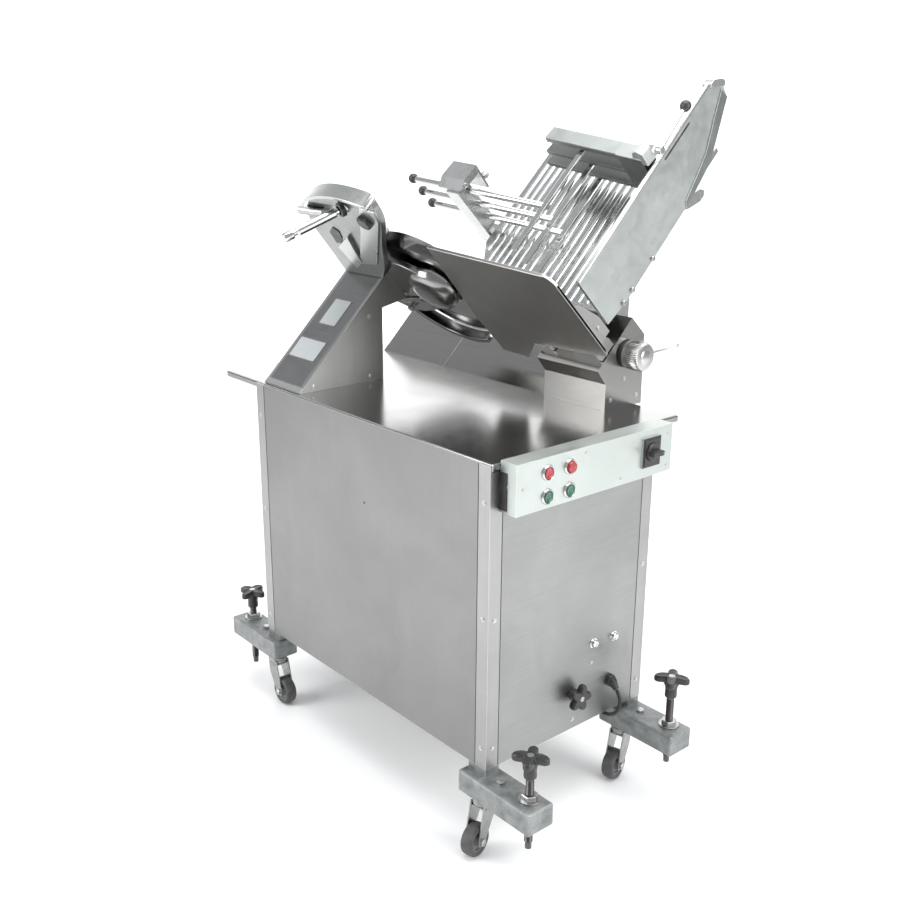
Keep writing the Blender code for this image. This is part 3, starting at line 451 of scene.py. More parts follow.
screw_steel = stainless("screw_steel", (0.46, 0.46, 0.45), 0.28, (500, 500, 500), 60, 0.2, 0.3, edges=0.5)
# Near-black for dark joints and the slot; the same material also paints shade on the control box's near side.
dark_joint_and_painted_shade = moulded("shadow_gap", (0.012, 0.012, 0.012), 0.6)
bm = bmesh.new()
for x, y, z in ((0.371, -0.218, 0.52), (0.371, -0.218, 0.255), (-0.371, -0.218, 0.52),
    (-0.371, -0.218, 0.255), (-0.371, -0.218, 0.742), (0.371, -0.218, 0.742)):
    add_screw(bm, at((x, y, z), 90, "X"), 0.0036, 0.002)
for y, z in ((-0.203, 0.518), (-0.203, 0.256), (0.203, 0.518), (0.203, 0.256)):
    add_screw(bm, at((0.386, y, z), 90, "Y"), 0.0036, 0.002)
for y, z in ((0.062, 0.343), (0.013, 0.234)):
    add_screw(bm, at((0.386, y, z), 90, "Y"), 0.0034, 0.002)
for x, z in ((-0.371, 0.52), (0.371, 0.52), (-0.371, 0.255), (0.371, 0.255)):
    add_screw(bm, at((x, 0.218, z), -90, "X"), 0.0036, 0.002)
for y, z in ((-0.203, 0.518), (-0.203, 0.256), (0.203, 0.518), (0.203, 0.256)):
    add_screw(bm, at((-0.386, y, z), -90, "Y"), 0.0036, 0.002)
finish_piece(bm, "panel_screws", screw_steel, "frame", edge=0.0002)
bm = bmesh.new()
for x in (-0.3552, 0.3552):
    add_block(bm, (x - 0.0007, x + 0.0007), (-0.2184, -0.2178), (0.215, 0.811))
for y in (-0.1878, 0.1878):
    add_block(bm, (0.3858, 0.3864), (y - 0.0007, y + 0.0007), (0.215, 0.724))
add_lathe(bm, [(0, 0), (0.0024, 0), (0.0024, 0.0005), (0, 0.0005)], at((0.015, -0.218, 0.642), 90, "X"), 16)
finish_piece(bm, "panel_joints", dark_joint_and_painted_shade, "frame", edge=0)


# ---- End panel fittings -------------------------------------------------------------------
# Two domed chrome studs clamp the motor tray inside, above the star knob that tensions the
# belt; the knob is glass-filled nylon on a steel stud with a washer behind it.
chrome, nodes, links, shader = surface("stud_chrome", (0.66, 0.66, 0.66), 0.1, 1.0)
speckle = speckled(nodes, 90)
links.new(math_node(nodes, links, "MULTIPLY_ADD", speckle.outputs["Patches"], 0.14, 0.06),
    shader.inputs["Roughness"])
bm = bmesh.new()
for y, z in ((0.066, 0.385), (0.125, 0.382)):
    add_lathe(bm, [(0, 0), (0.0105, 0), (0.0105, 0.0012), (0.0078, 0.0016), (0.0078, 0.006),
        (0.0068, 0.0075), (0.004, 0.0085), (0, 0.0088)], at((0.386, y, z), 90, "Y"), 28)
finish_piece(bm, "tray_studs", chrome, "frame", edge=0.0002)

star_place = facing((0.386, 0.008, 0.294), (1, 0, 0))
star_black = moulded("star_nylon", (0.016, 0.016, 0.017), 0.34, 55, 1500, 0.00005, (0.06, 0.06, 0.06))


def star(bm, lobes, root, tip, low, high, place=None, dome=0.0, sharp=0.75, droop=0.0):
    """A moulded star handle: rounded lobes, eased over at the rim."""
    place = place or Matrix()
    count = lobes * 16
    rings = []
    rim = (high - low) * 0.32
    for inset, height in ((0.0022, low), (0.0006, low + rim * 0.35), (0, low + rim), (0, high - rim),
        (0.0008, high - rim * 0.4), (0.003, high), (0.0075, high + dome)):
        ring = []
        for k in range(count):
            wave = (0.5 + 0.5 * math.cos(math.tau * k / 16)) ** sharp
            radius = root + (tip - root) * wave - inset
            ring.append(bm.verts.new(place @ Vector((radius * math.cos(math.tau * k / count),
                radius * math.sin(math.tau * k / count), height - droop * (radius / tip) ** 2))))
        rings.append(ring)
    bm.faces.new(rings[0])
    bm.faces.new(rings[-1])
    for a, b in zip(rings, rings[1:]):
        for k in range(count):
            n = (k + 1) % count
            bm.faces.new((a[k], a[n], b[n], b[k]))


bm = bmesh.new()
star(bm, 5, 0.0165, 0.0285, 0.0165, 0.03, dome=-0.0008)
add_lathe(bm, [(0, 0.0024), (0.0115, 0.0024), (0.0125, 0.004), (0.0118, 0.012), (0.014, 0.0175),
    (0, 0.0175)], None, 36)
finish_piece(bm, "belt_star", star_black, "tension_knob", star_place, ("tension_knob",), 0.0004,
    50)
bm = bmesh.new()
add_lathe(bm, [(0, -0.03), (0.0048, -0.03), (0.0048, 0.0012), (0.0105, 0.0012), (0.0105, 0.0026),
    (0, 0.0026)], None, 24)
add_lathe(bm, [(0, 0.029), (0.0052, 0.029), (0.005, 0.0303), (0, 0.0305)], None, 24)
finish_piece(bm, "belt_star_stud", screw_steel, "tension_knob", star_place, edge=0.0002)


# ---- Worktop ------------------------------------------------------------------------------
# One folded stainless sheet with a rolled lip, polished until it mirrors the head above it,
# and overhanging the cabinet at the blade end and the back.
worktop_steel = stainless("worktop_steel", (0.33, 0.33, 0.322), 0.17, (8, 160, 160), 6.0, 0.05, 0.12, 0.05,
    0.000008)
refinish("worktop", worktop_steel)


# ---- Control box --------------------------------------------------------------------------
# A shallow folded box on the control end; its face is a pale satin plate with rounded corners,
# held by small screws. A black sheet on the inner part of its near side is painted shade next to the corner
# post.
box_pale = stainless("fascia_satin", (0.52, 0.56, 0.535), 0.42, (300, 8, 300), 9.0, 0.06, 0.16, 0.05,
    0.00001)
refinish("control_box", box_pale)
bm = bmesh.new()
for y, z in ((-0.178, 0.772), (-0.023, 0.808), (0.075, 0.738), (0.206, 0.801), (0.206, 0.738)):
    add_screw(bm, at((0.426, y, z), 90, "Y"), 0.0027, 0.0016)
add_screw(bm, at((0.406, -0.195, 0.775), 90, "X"), 0.0027, 0.0016)
finish_piece(bm, "fascia_screws", screw_steel, "frame", edge=0.0002)
# Painted shade: a black sheet over the inner part of the box's near side, next to the corner post.
bm = bmesh.new()
add_block(bm, (0.3862, 0.404), (-0.1964, -0.1952), (0.73, 0.799))
finish_piece(bm, "box_side_painted_shade", dark_joint_and_painted_shade, "frame", edge=0)


# ---- Push buttons -------------------------------------------------------------------------
# Standard 22 mm panel buttons: a chromed bezel ring round each coloured cap, which is lightly
# dished.  One red cap is a low mushroom head, so that a palm can stop the blade.
bezel_places = {"stop_button": (-0.12, 0.791), "start_button": (-0.12, 0.747), "blade_stop_button": (-0.065,
    0.791), "blade_start_button": (-0.065, 0.747)}
bm = bmesh.new()
for y, z in bezel_places.values():
    add_lathe(bm, [(0.0113, -0.0002), (0.01475, -0.0002), (0.01475, 0.0016), (0.0138, 0.0036),
        (0.0124, 0.0046), (0.0116, 0.0044), (0.0113, 0.003), (0.0113, -0.0002)],
        at((0.4263, y, z), 90, "Y"), 48)
finish_piece(bm, "button_bezels", chrome, "frame", edge=0)


def button_plastic(name, colour):
    """Translucent-looking moulded cap: glossy, with worn pale patches."""
    mat, nodes, links, shader = surface(name, colour, 0.25, 0.0)
    speckle = speckled(nodes, 130)
    share = math_node(nodes, links, "MULTIPLY", speckle.outputs["Patches"], 0.3)
    links.new(blend_colours(nodes, links, share, colour, tuple(min(1, c * 1.7 + 0.02) for c in colour)),
        shader.inputs["Base Color"])
    links.new(math_node(nodes, links, "MULTIPLY_ADD", speckle.outputs["Patches"], 0.2, 0.15),
        shader.inputs["Roughness"])
    shader.inputs["Coat Weight"].default_value = 0.4
    shader.inputs["Coat Roughness"].default_value = 0.12
    return mat


cap_red = button_plastic("cap_red", (0.3, 0.018, 0.022))
cap_green = button_plastic("cap_green", (0.008, 0.09, 0.05))
for label, (y, z) in bezel_places.items():
    red = "stop" in label
    proud = 0.0035 if label == "blade_stop_button" else 0.0
    bm = bmesh.new()
    profile = [(0, -0.022), (0.004, -0.022), (0.004, -0.006), (0.0104, -0.006), (0.0104, 0.0048 + proud),
        (0.0098, 0.0058 + proud), (0.0088, 0.006 + proud)]
    profile += [(0.008, 0.0055), (0.004, 0.005), (0, 0.0049)] if not proud else [(0.006, 0.0096), (0, 0.01)]
    add_lathe(bm, profile, None, 36)
    finish_piece(bm, label + "_cap", cap_red if red else cap_green, label,
        facing((0.426, y, z), (1, 0, 0)), (label,), 0)


# ---- Selector switch ----------------------------------------------------------------------
# A square black escutcheon with a raised rim, and a round base carrying the pointer grip.
switch_black = moulded("switch_black", (0.018, 0.018, 0.02), 0.36, 60, 1300, 0.00004, (0.07, 0.07, 0.07))
bm = bmesh.new()
add_slab(bm, [(0.13, 0.746), (0.18, 0.746), (0.18, 0.804), (0.13, 0.804)], 0.4302, 0.431, "x")
add_slab(bm, [(0.1335, 0.7495), (0.1765, 0.7495), (0.1765, 0.8005), (0.1335, 0.8005)], 0.4305, 0.4322, "x")
finish_piece(bm, "switch_escutcheon", switch_black, "frame", edge=0.0006)
knob_place = facing((0.43, 0.155, 0.775), (1, 0, 0))
bm = bmesh.new()
add_lathe(bm, [(0, 0.0024), (0.018, 0.0024), (0.018, 0.005), (0.0165, 0.0072), (0, 0.0076)], None, 40)
grip = [(-0.0165, 0.003), (-0.015, 0.0045), (0.012, 0.0052), (0.0168, 0.002), (0.0168, -0.002),
    (0.012, -0.0052), (-0.015, -0.0045), (-0.0165, -0.003)]
add_slab(bm, grip, 0.006, 0.02)
finish_piece(bm, "selector_grip", switch_black, "switch_knob", knob_place, ("switch_knob",),
    0.0012, 40, 3)
bm = bmesh.new()
add_slab(bm, [(0.011, 0.0008), (0.0166, 0.0008), (0.0166, -0.0008), (0.011, -0.0008)], 0.0198, 0.0204)
pointer_white = moulded("pointer_white", (0.7, 0.7, 0.68), 0.5)
finish_piece(bm, "selector_pointer", pointer_white, "switch_knob", knob_place, edge=0)


# ---- Outrigger beams ----------------------------------------------------------------------
# Capped box tube, dull zinc with scuffs and grime.  Each is bolted to an L-shaped foot pad under
# a corner post and carries a castor plate below and a jacking nut on top.
beam_zinc, nodes, links, shader = surface("outrigger_zinc", (0.24, 0.25, 0.25), 0.5, 0.55)
speckle = speckled(nodes, 45, 260)
wear = nodes.new("ShaderNodeGroup")
wear.node_tree = rubbed
tone = blend_colours(nodes, links, speckle.outputs["Patches"], (0.17, 0.18, 0.185), (0.32, 0.335, 0.33))
tone = blend_colours(nodes, links, math_node(nodes, links, "MULTIPLY", speckle.outputs["Specks"], 0.22),
    tone, (0.1, 0.1, 0.1))
tone = blend_colours(nodes, links, math_node(nodes, links, "MULTIPLY", wear.outputs["Mask"], 0.5), tone,
    (0.5, 0.5, 0.49))
links.new(tone, shader.inputs["Base Color"])
links.new(math_node(nodes, links, "MULTIPLY_ADD", speckle.outputs["Patches"], 0.22, 0.36),
    shader.inputs["Roughness"])
relief(nodes, links, shader, speckle.outputs["Specks"], 0.4, 0.0002)
jack_reach, jack_shift = 0.485, 0.006       # jack screws from the middle, and behind their beam
castor_reach, castor_trail = 0.366, 0.025   # castors from the middle, and axle behind swivel
axle_height = 0.0625
corner_list = (("front_right", 1, -0.206, 0.0, 13), ("rear_right", 1, 0.189, 0.018, 13),
    ("front_left", -1, -0.206, -0.018, 90), ("rear_left", -1, 0.189, 0.0, 60))
for name, side, y, raised, heading in corner_list:
    refinish("outrigger_beam_" + name, beam_zinc)
    bm = bmesh.new()
    add_lathe(bm, [(0.0085, 0.1985), (0.0205, 0.1985), (0.0205, 0.2005), (0.0085, 0.2005),
        (0.0085, 0.1985)], at((side * jack_reach, y + jack_shift, 0)), 32)
    add_lathe(bm, [(0.0085, 0.2005), (0.015, 0.2005), (0.0158, 0.2015), (0.0158, 0.209), (0.0145, 0.2102),
        (0.0085, 0.2102), (0.0085, 0.2005)], at((side * jack_reach, y + jack_shift, 0)), 6)
    add_lathe(bm, [(0.0085, 0.14), (0.015, 0.14), (0.0158, 0.141), (0.0158, 0.152), (0.0085, 0.1528),
        (0.0085, 0.14)], at((side * jack_reach, y + jack_shift, 0)), 6)
    add_lathe(bm, [(0, 0.198), (0.0085, 0.198), (0.0085, 0.203), (0, 0.204)], at((side * 0.415, y, 0)), 6)
    finish_piece(bm, "beam_nuts_" + name, screw_steel, "frame", edge=0.0003)


# ---- Jacking screws -----------------------------------------------------------------------
# Blackened M16 screws with a rolled thread and a plain tip, each under a four-lobed nylon
# knob with a tapered neck.  Turning the knob runs the screw through its nut.
jack_steel = moulded("jack_steel", (0.1, 0.1, 0.1), 0.36, 80, 700, 0.00005, (0.16, 0.15, 0.14), 0.9)
jack_black = moulded("jack_nylon", (0.013, 0.013, 0.014), 0.36, 50, 1300, 0.00006, (0.06, 0.06, 0.06))
for name, side, y, raised, heading in corner_list:
    place = HOME @ at((side * jack_reach, y + jack_shift, 0.095 + raised))
    bm = bmesh.new()
    rings = []
    lathe = [(0.006, 0.0), (0.0064, 0.012)]
    threads = 66
    for k in range(threads):
        z = 0.014 + k * 0.002
        lathe += [(0.007, z), (0.0079, z + 0.001)]
    lathe += [(0.007, 0.148), (0.007, 0.15)]
    add_lathe(bm, [(0, 0)] + lathe + [(0, 0.15)], None, 20)
    finish_piece(bm, "jack_screw_" + name, jack_steel, "screw_" + name, place,
        ("leveller_screw_" + name,), 0, 60)
    head_place = place @ at((0, 0, 0.1503), 20 + heading, "Z")
    bm = bmesh.new()
    add_lathe(bm, [(0, 0), (0.0118, 0), (0.0124, 0.004), (0.0118, 0.014), (0.0128, 0.022), (0.0165, 0.031),
        (0.0165, 0.036), (0, 0.036)], None, 36)
    star(bm, 4, 0.015, 0.0355, 0.034, 0.047, dome=-0.0016, sharp=1.0, droop=0.004)
    finish_piece(bm, "jack_knob_" + name, jack_black, "screw_knob_" + name, head_place,
        ("leveller_knob_" + name,), 0, 50)
    bm = bmesh.new()
    add_lathe(bm, [(0, 0.044), (0.0068, 0.044), (0.0064, 0.0452), (0, 0.0456)], None, 24)
    finish_piece(bm, "jack_cap_" + name, screw_steel, "screw_knob_" + name, head_place, edge=0)


# ---- Castors ------------------------------------------------------------------------------
# Pressed zinc-plated forks with a ball race on top, and grey rubber tyres on moulded centres
# that turn on a bolt with a nut at each end.
fork_zinc = moulded("fork_zinc", (0.34, 0.345, 0.34), 0.3, 60, 500, 0.00004, (0.2, 0.2, 0.19), 0.95)
tyre_rubber = moulded("tyre_rubber", (0.055, 0.055, 0.058), 0.62, 70, 1000, 0.00008, (0.16, 0.155, 0.15))
hub_grey = moulded("hub_grey", (0.16, 0.165, 0.17), 0.45, 70, 900, 0.00004, (0.26, 0.26, 0.25))
for name, side, y, raised, heading in corner_list:
    spin = HOME @ at((side * castor_reach, y, 0), heading, "Z")
    top = 0.1497
    bm = bmesh.new()
    add_block(bm, (-0.019, 0.019), (-0.019, 0.019), (top - 0.003, top + 0.0002),
        at((0, 0, 0), -heading, "Z"))
    add_lathe(bm, [(0, top - 0.0045), (0.0185, top - 0.0045), (0.0212, top - 0.007), (0.0212, top - 0.01),
        (0.0196, top - 0.0118), (0.0205, top - 0.0135), (0.0205, top - 0.016), (0.018, top - 0.0215),
        (0.006, top - 0.0225), (0.006, top - 0.029), (0, top - 0.029)], None, 40)
    leg = [(0.0175, top - 0.012), (-0.0175, top - 0.012), (-0.023, top - 0.036), (-0.0355, 0.065),
        (-0.0362, 0.06), (-0.033, 0.0545), (-0.025, 0.0525), (-0.017, 0.0545), (-0.012, 0.061),
        (0.012, top - 0.048)]
    for low in (-0.0172, 0.0142):
        add_slab(bm, leg, low, low + 0.003, "x")
    add_block(bm, (-0.0172, 0.0172), (-0.018, 0.015), (top - 0.023, top - 0.02))
    finish_piece(bm, "castor_frame_" + name, fork_zinc, "castor_" + name, spin,
        ("castor_fork_" + name,), 0.0006, 40)
    axle = spin @ at((0, -castor_trail, axle_height), 90, "Y")
    bm = bmesh.new()
    for flip in (0, 180):
        cap = at((0, 0, 0), flip, "X")
        add_lathe(bm, [(0, 0.013), (0.0075, 0.0172), (0.0078, 0.0175), (0.0078, 0.0215), (0.0066, 0.0226),
            (0, 0.0226)], cap, 6)
    add_lathe(bm, [(0, -0.016), (0.0045, -0.016), (0.0045, 0.016), (0, 0.016)], None, 16)
    finish_piece(bm, "castor_bolt_" + name, screw_steel, "castor_" + name, axle, edge=0.0003)
    bm = bmesh.new()
    tyre = [(0.0225, -0.0118), (0.025, -0.0128), (0.0292, -0.0126), (0.0316, -0.01), (0.0324, -0.0055),
        (0.0325, 0), (0.0324, 0.0055), (0.0316, 0.01), (0.0292, 0.0126), (0.025, 0.0128), (0.0225, 0.0118),
        (0.0215, 0.0), (0.0225, -0.0118)]
    add_lathe(bm, tyre, None, 64)
    finish_piece(bm, "castor_tyre_" + name, tyre_rubber, "wheel_" + name, axle,
        ("castor_wheel_" + name,), 0, 60)
    bm = bmesh.new()
    hub = [(0.0055, -0.0128), (0.01, -0.0128), (0.0106, -0.0105), (0.0112, -0.0064), (0.019, -0.0052),
        (0.0204, -0.0102), (0.0228, -0.0108), (0.0228, 0.0108), (0.0204, 0.0102), (0.019, 0.0052),
        (0.0112, 0.0064), (0.0106, 0.0105), (0.01, 0.0128), (0.0055, 0.0128), (0.0055, -0.0128)]
    add_lathe(bm, hub, None, 48)
    finish_piece(bm, "castor_hub_" + name, hub_grey, "wheel_" + name, axle, edge=0.0003)


# ---- Blade tower --------------------------------------------------------------------------
# A folded and welded stainless wedge, bolted to the worktop, that carries the blade head.  Its
# sloping face is a darker sheet with a bright lower rim and two blank adhesive plates.
head_foot, head_tilt = (0, 0.172, 0.946), 45   # foot of the gauge plate, and the head's lean
HEAD = HOME @ at(head_foot, head_tilt, "X")
tower_steel = stainless("tower_steel", (0.37, 0.37, 0.36), 0.34, (200, 200, 8), 6.0, 0.05, 0.15)
refinish("blade_tower", tower_steel)
slope = HEAD @ at((0, -0.3604, 0.1742), 0.26, "X")
slope_steel = stainless("slope_steel", (0.25, 0.255, 0.255), 0.28, (8, 200, 200), 8.0, 0.1, 0.25)
bm = bmesh.new()
add_slab(bm, [(-0.36, 0.016), (-0.239, 0.016), (-0.239, 0.318), (-0.36, 0.318)], 0.0001, 0.0009)
finish_piece(bm, "slope_sheet", slope_steel, "frame", slope, edge=0.0004)
bm = bmesh.new()
add_slab(bm, [(-0.369, 0.002), (-0.23, 0.002), (-0.23, 0.0145), (-0.369, 0.0145)], 0.0001, 0.0016)
finish_piece(bm, "slope_rim", stainless("rim_steel", (0.66, 0.66, 0.65), 0.18, (8, 200, 200), 8.0, 0.05,
    0.1), "frame", slope, edge=0.0006)
label_card = moulded("label_card", (0.36, 0.38, 0.39), 0.55, 24, 600, 0.00001, (0.31, 0.32, 0.33))
label_ink = moulded("label_ink", (0.2, 0.2, 0.205), 0.5, 24, 600, 0.00001, (0.16, 0.16, 0.16))
card_bm, ink_bm = bmesh.new(), bmesh.new()
for x0, x1, t0, t1 in ((-0.331, -0.27, 0.1734, 0.2434), (-0.355, -0.257, 0.0794, 0.1314)):
    add_block(card_bm, (x0, x1), (t0, t1), (0.0008, 0.0013))
    for x_low, x_high, t_low, t_high in ((x0, x1, t0, t0 + 0.0016), (x0, x1, t1 - 0.0016, t1), (x0, x0 + 0.0016, t0, t1),
        (x1 - 0.0016, x1, t0, t1)):
        add_block(ink_bm, (x_low, x_high), (t_low, t_high), (0.001, 0.0015))
finish_piece(card_bm, "slope_labels", label_card, "frame", slope, edge=0)
finish_piece(ink_bm, "label_borders", label_ink, "frame", slope, edge=0)
bm = bmesh.new()
for y, z in ((-0.17, 0.826), (-0.02, 0.826), (-0.02, 0.96)):
    add_screw(bm, at((-0.229, y, z), 90, "Y"), 0.004, 0.0022)
finish_piece(bm, "tower_screws", screw_steel, "frame", edge=0.0002)


# ---- Guide housing ------------------------------------------------------------------------
# A long polished cover over the carriage rail, butted in two lengths, with the taller block at
# the control end in which the gauge spindle turns; it is screwed down to the worktop.
housing_steel = stainless("housing_steel", (0.34, 0.335, 0.325), 0.2, (6, 180, 180), 5.0, 0.08, 0.2)
refinish("guide_housing", housing_steel)
bm = bmesh.new()
add_block(bm, (-0.2395, -0.237), (-0.072, 0.0535), (-0.113, -0.1122))
finish_piece(bm, "housing_seam", screw_steel, "frame", HEAD, edge=0.0002)
bm = bmesh.new()
for y, z in ((0.246, 0.875), (0.286, 0.835), (0.208, 0.835)):
    add_screw(bm, at((0.275, y, z), 90, "Y"), 0.0036, 0.002)
finish_piece(bm, "housing_screws", screw_steel, "frame", edge=0.0002)


# ---- Motors -------------------------------------------------------------------------------
# A flanged motor under the worktop turns the blade by a belt, and a foot-mounted gearmotor in
# the cabinet drives the carriage crank.  Both are cast aluminium in grey stove enamel.
motor_enamel = moulded("motor_enamel", (0.085, 0.095, 0.105), 0.42, 26, 500, 0.0001, (0.15, 0.16, 0.17),
    0.15)
refinish("blade_motor", motor_enamel)
refinish("carriage_motor", motor_enamel)


# ---- Blade --------------------------------------------------------------------------------
# A hollow-ground 320 mm disc of hard stainless, mirror polished, with a ground bevel at the rim.
# It is bolted to the hub of its bearing housing.
blade_steel = stainless("blade_steel", (0.42, 0.42, 0.42), 0.09, (30, 30, 30), 7.0, 0.05, 0.12, 0.05,
    0.000004)
blade_x, blade_u = -0.11, 0.134
on_blade = at((blade_x, 0, blade_u), -90, "X")
bm = bmesh.new()
add_lathe(bm, [(0, -0.03), (0.0115, -0.03), (0.012, -0.029), (0.012, -0.0105), (0.046, -0.0105),
    (0.048, -0.0045), (0.075, -0.0062), (0.115, -0.0058), (0.146, -0.0042), (0.1478, -0.0038),
    (0.1598, -0.0007), (0.16, -0.0002), (0.158, -0.0003), (0.14, -0.0014), (0.11, -0.0026), (0.06, -0.0026),
    (0.0585, -0.0013), (0, -0.0013)], None, 144)
finish_piece(bm, "disc_blade", blade_steel, "blade", HEAD @ on_blade, ("blade",), 0, 25)


# ---- Blade housing ------------------------------------------------------------------------
# A polished aluminium casting bolted to the tower: an arm with a domed bearing cap, and the
# guard ring that wraps the blade from the top round to the far side.
def arc(radius, start, end, count):
    """Points of an arc round the blade's centre, in head measurements."""
    return [(blade_x + radius * math.cos(math.radians(start + (end - start) * k / count)), blade_u
        + radius * math.sin(math.radians(start + (end - start) * k / count))) for k in range(count + 1)]


gear_cast = stainless("housing_cast", (0.3, 0.3, 0.295), 0.17, (40, 40, 40), 14.0, 0.08, 0.3, 0.1, 0.00003,
    0.5)
bm = bmesh.new()
add_slab(bm, arc(0.176, 95, 290, 90) + arc(0.1635, 290, 95, 90), -0.0277, -0.0004, "y")
finish_piece(bm, "blade_guard", gear_cast, "frame", HEAD, ("blade_gearbox",), 0.0028, 35, 4)
bm = bmesh.new()
arm = [(-0.362, 0.093), (-0.3, 0.06), (-0.25, 0.04), (-0.2, 0.046), (-0.15, 0.062), (-0.1, 0.085),
    (-0.06, 0.11), (-0.056, 0.15), (-0.075, 0.18), (-0.15, 0.215), (-0.24, 0.235), (-0.362, 0.1755)]
add_slab(bm, arm, -0.0277, -0.0135, "y")
ridge = [(-0.352, 0.112), (-0.25, 0.072), (-0.17, 0.09), (-0.17, 0.104), (-0.25, 0.088), (-0.352, 0.13)]
add_slab(bm, ridge, -0.0325, -0.027, "y")
finish_piece(bm, "housing_arm", gear_cast, "frame", HEAD, edge=0.0035, rounds=4)
bm = bmesh.new()
add_lathe(bm, [(0, -0.042), (0.02, -0.042), (0.033, -0.0412), (0.043, -0.039), (0.05, -0.0355),
    (0.056, -0.03), (0.0605, -0.024), (0.063, -0.0185), (0.064, -0.0137), (0, -0.0137)], on_blade, 72)
finish_piece(bm, "bearing_cap", gear_cast, "frame", HEAD, edge=0)
bm = bmesh.new()
for x, u in ((-0.1239, 0.0815), (-0.1057, 0.085), (-0.2256, 0.1028), (-0.34, 0.15), (-0.34, 0.115)):
    add_screw(bm, at((x, -0.0277, u), 90, "X"), 0.0042, 0.003)
add_lathe(bm, [(0, 0), (0.006, 0), (0.006, 0.006), (0.0085, 0.007), (0.0085, 0.0125), (0.0075, 0.0135),
    (0, 0.0135)], at((-0.2353, -0.0277, 0.0616), 90, "X"), 20)
finish_piece(bm, "housing_bolts", screw_steel, "frame", HEAD, edge=0.0003)


# ---- Gauge plate --------------------------------------------------------------------------
# A flat ground plate with a rolled top edge that stands level with the blade.  Two feet behind
# it run in the guide housing, so turning the dial moves it back for a thicker slice.
gauge_steel = stainless("gauge_steel", (0.4, 0.39, 0.375), 0.32, (5, 220, 220), 3.0, 0.06, 0.4)
refinish("gauge_plate", gauge_steel)
bm = bmesh.new()
add_slab(bm, [(-0.009, 0.279), (0.288, 0.2435), (0.288, 0.2395), (-0.009, 0.275)], -0.018, -0.0105, "y")
add_slab(bm, [(0.309, 0.217), (0.309, 0.018), (0.306, 0.018), (0.306, 0.217)], -0.0175, -0.0108, "y")
finish_piece(bm, "gauge_edges", tower_steel, "gauge_plate", HEAD, edge=0.0012, rounds=3)
bm = bmesh.new()
add_slab(bm, [(-0.011, 0.03), (0.025, 0.03), (0.025, 0.075), (0.006, 0.13), (-0.011, 0.15)], 0.295, 0.2985,
    "x")
add_screw(bm, at((0.2985, 0.008, 0.06), 90, "Y"), 0.0045, 0.003)
finish_piece(bm, "gauge_fin", tower_steel, "gauge_plate", HEAD, edge=0.0008)


# ---- Thickness dial -----------------------------------------------------------------------
# A turned and knurled drum on the gauge spindle, against a dark graduated ring, with a slim
# locking lever screwed into its rim.
dial_place = facing((0.2753, 0.252, 0.925), (1, 0, 0))
dial_steel = stainless("dial_steel", (0.52, 0.52, 0.51), 0.18, (60, 60, 300), 30.0, 0.08, 0.2)
bm = bmesh.new()
add_lathe(bm, [(0, 0), (0.0285, 0), (0.0285, 0.005), (0.027, 0.006), (0, 0.006)], None, 48)
finish_piece(bm, "dial_ring", body_black, "thickness_dial", dial_place, ("thickness_dial",),
    0.0004)
bm = bmesh.new()
star(bm, 44, 0.0288, 0.03, 0.0062, 0.0462, dome=0.001)
add_lathe(bm, [(0, 0.0455), (0.015, 0.0455), (0.015, 0.0478), (0.0135, 0.0486), (0, 0.0486)], None, 36)
finish_piece(bm, "dial_drum", dial_steel, "thickness_dial", dial_place, edge=0)
bm = bmesh.new()
lever = Vector((0, 1, 0.06)).to_track_quat("Z", "Y").to_matrix().to_4x4()
add_lathe(bm, [(0, 0), (0.0032, 0), (0.0032, 0.084), (0.0042, 0.086), (0.0042, 0.0945), (0.0032, 0.0955),
    (0, 0.0955)], at((0.318, 0.262, 0.93)) @ lever, 16)
finish_piece(bm, "dial_lever", screw_steel, "thickness_dial", edge=0.0002)


# ---- Sharpener ----------------------------------------------------------------------------
# A cast bracket over the top of the blade, under a curved hood strip.  It carries two stones, a
# knurled clamp knob and the long feed rod that brings the stones down onto the edge.
sharpener_cast = stainless("sharpener_cast", (0.33, 0.335, 0.33), 0.3, (60, 60, 60), 18.0, 0.1, 0.3, 0.1,
    0.00003, 0.6)
bright_strip = stainless("bright_strip", (0.54, 0.55, 0.54), 0.26, (160, 160, 8), 9.0, 0.06, 0.15)


def smooth_outline(*sides):
    """Each side is run through as a smooth curve; the sides meet at sharp corners."""
    return [(p.x, p.y) for side in sides for p in through([Vector((*q, 0)) for q in side], 0.006)]


# The casting is made in two halves that meet across the middle of the bore for the feed rod.
near_side = smooth_outline(((-0.222, 0.1785), (-0.178, 0.22), (-0.11, 0.3), (-0.05, 0.365), (-0.03, 0.4),
    (-0.022, 0.43)))
far_side = smooth_outline(((-0.046, 0.446), (-0.13, 0.458), (-0.2, 0.444), (-0.25, 0.418), (-0.292, 0.384),
    (-0.322, 0.33), (-0.34, 0.26), (-0.362, 0.1785)))
bore_x, bore_u, bore_radius = -0.127, 0.4113, 0.012
bore = [(bore_x + bore_radius * math.cos(math.radians(a)), bore_u
    + bore_radius * math.sin(math.radians(a))) for a in range(0, 361, 10)]
bm = bmesh.new()
add_slab(bm, [p for p in near_side if p[1] < bore_u] + [(-0.027, bore_u)] + bore[:17:-1]
    + [(-0.256, bore_u)] + [p for p in far_side if p[1] < bore_u], -0.0445, -0.0283, "y")
add_slab(bm, [(-0.027, bore_u)] + [p for p in near_side if p[1] > bore_u]
    + [p for p in far_side if p[1] > bore_u] + [(-0.256, bore_u)] + bore[18::-1], -0.0445, -0.0283, "y")
finish_piece(bm, "sharpener_casting", sharpener_cast, "frame", HEAD, ("sharpener_bracket",), 0.0008,
    35, 3)
bm = bmesh.new()
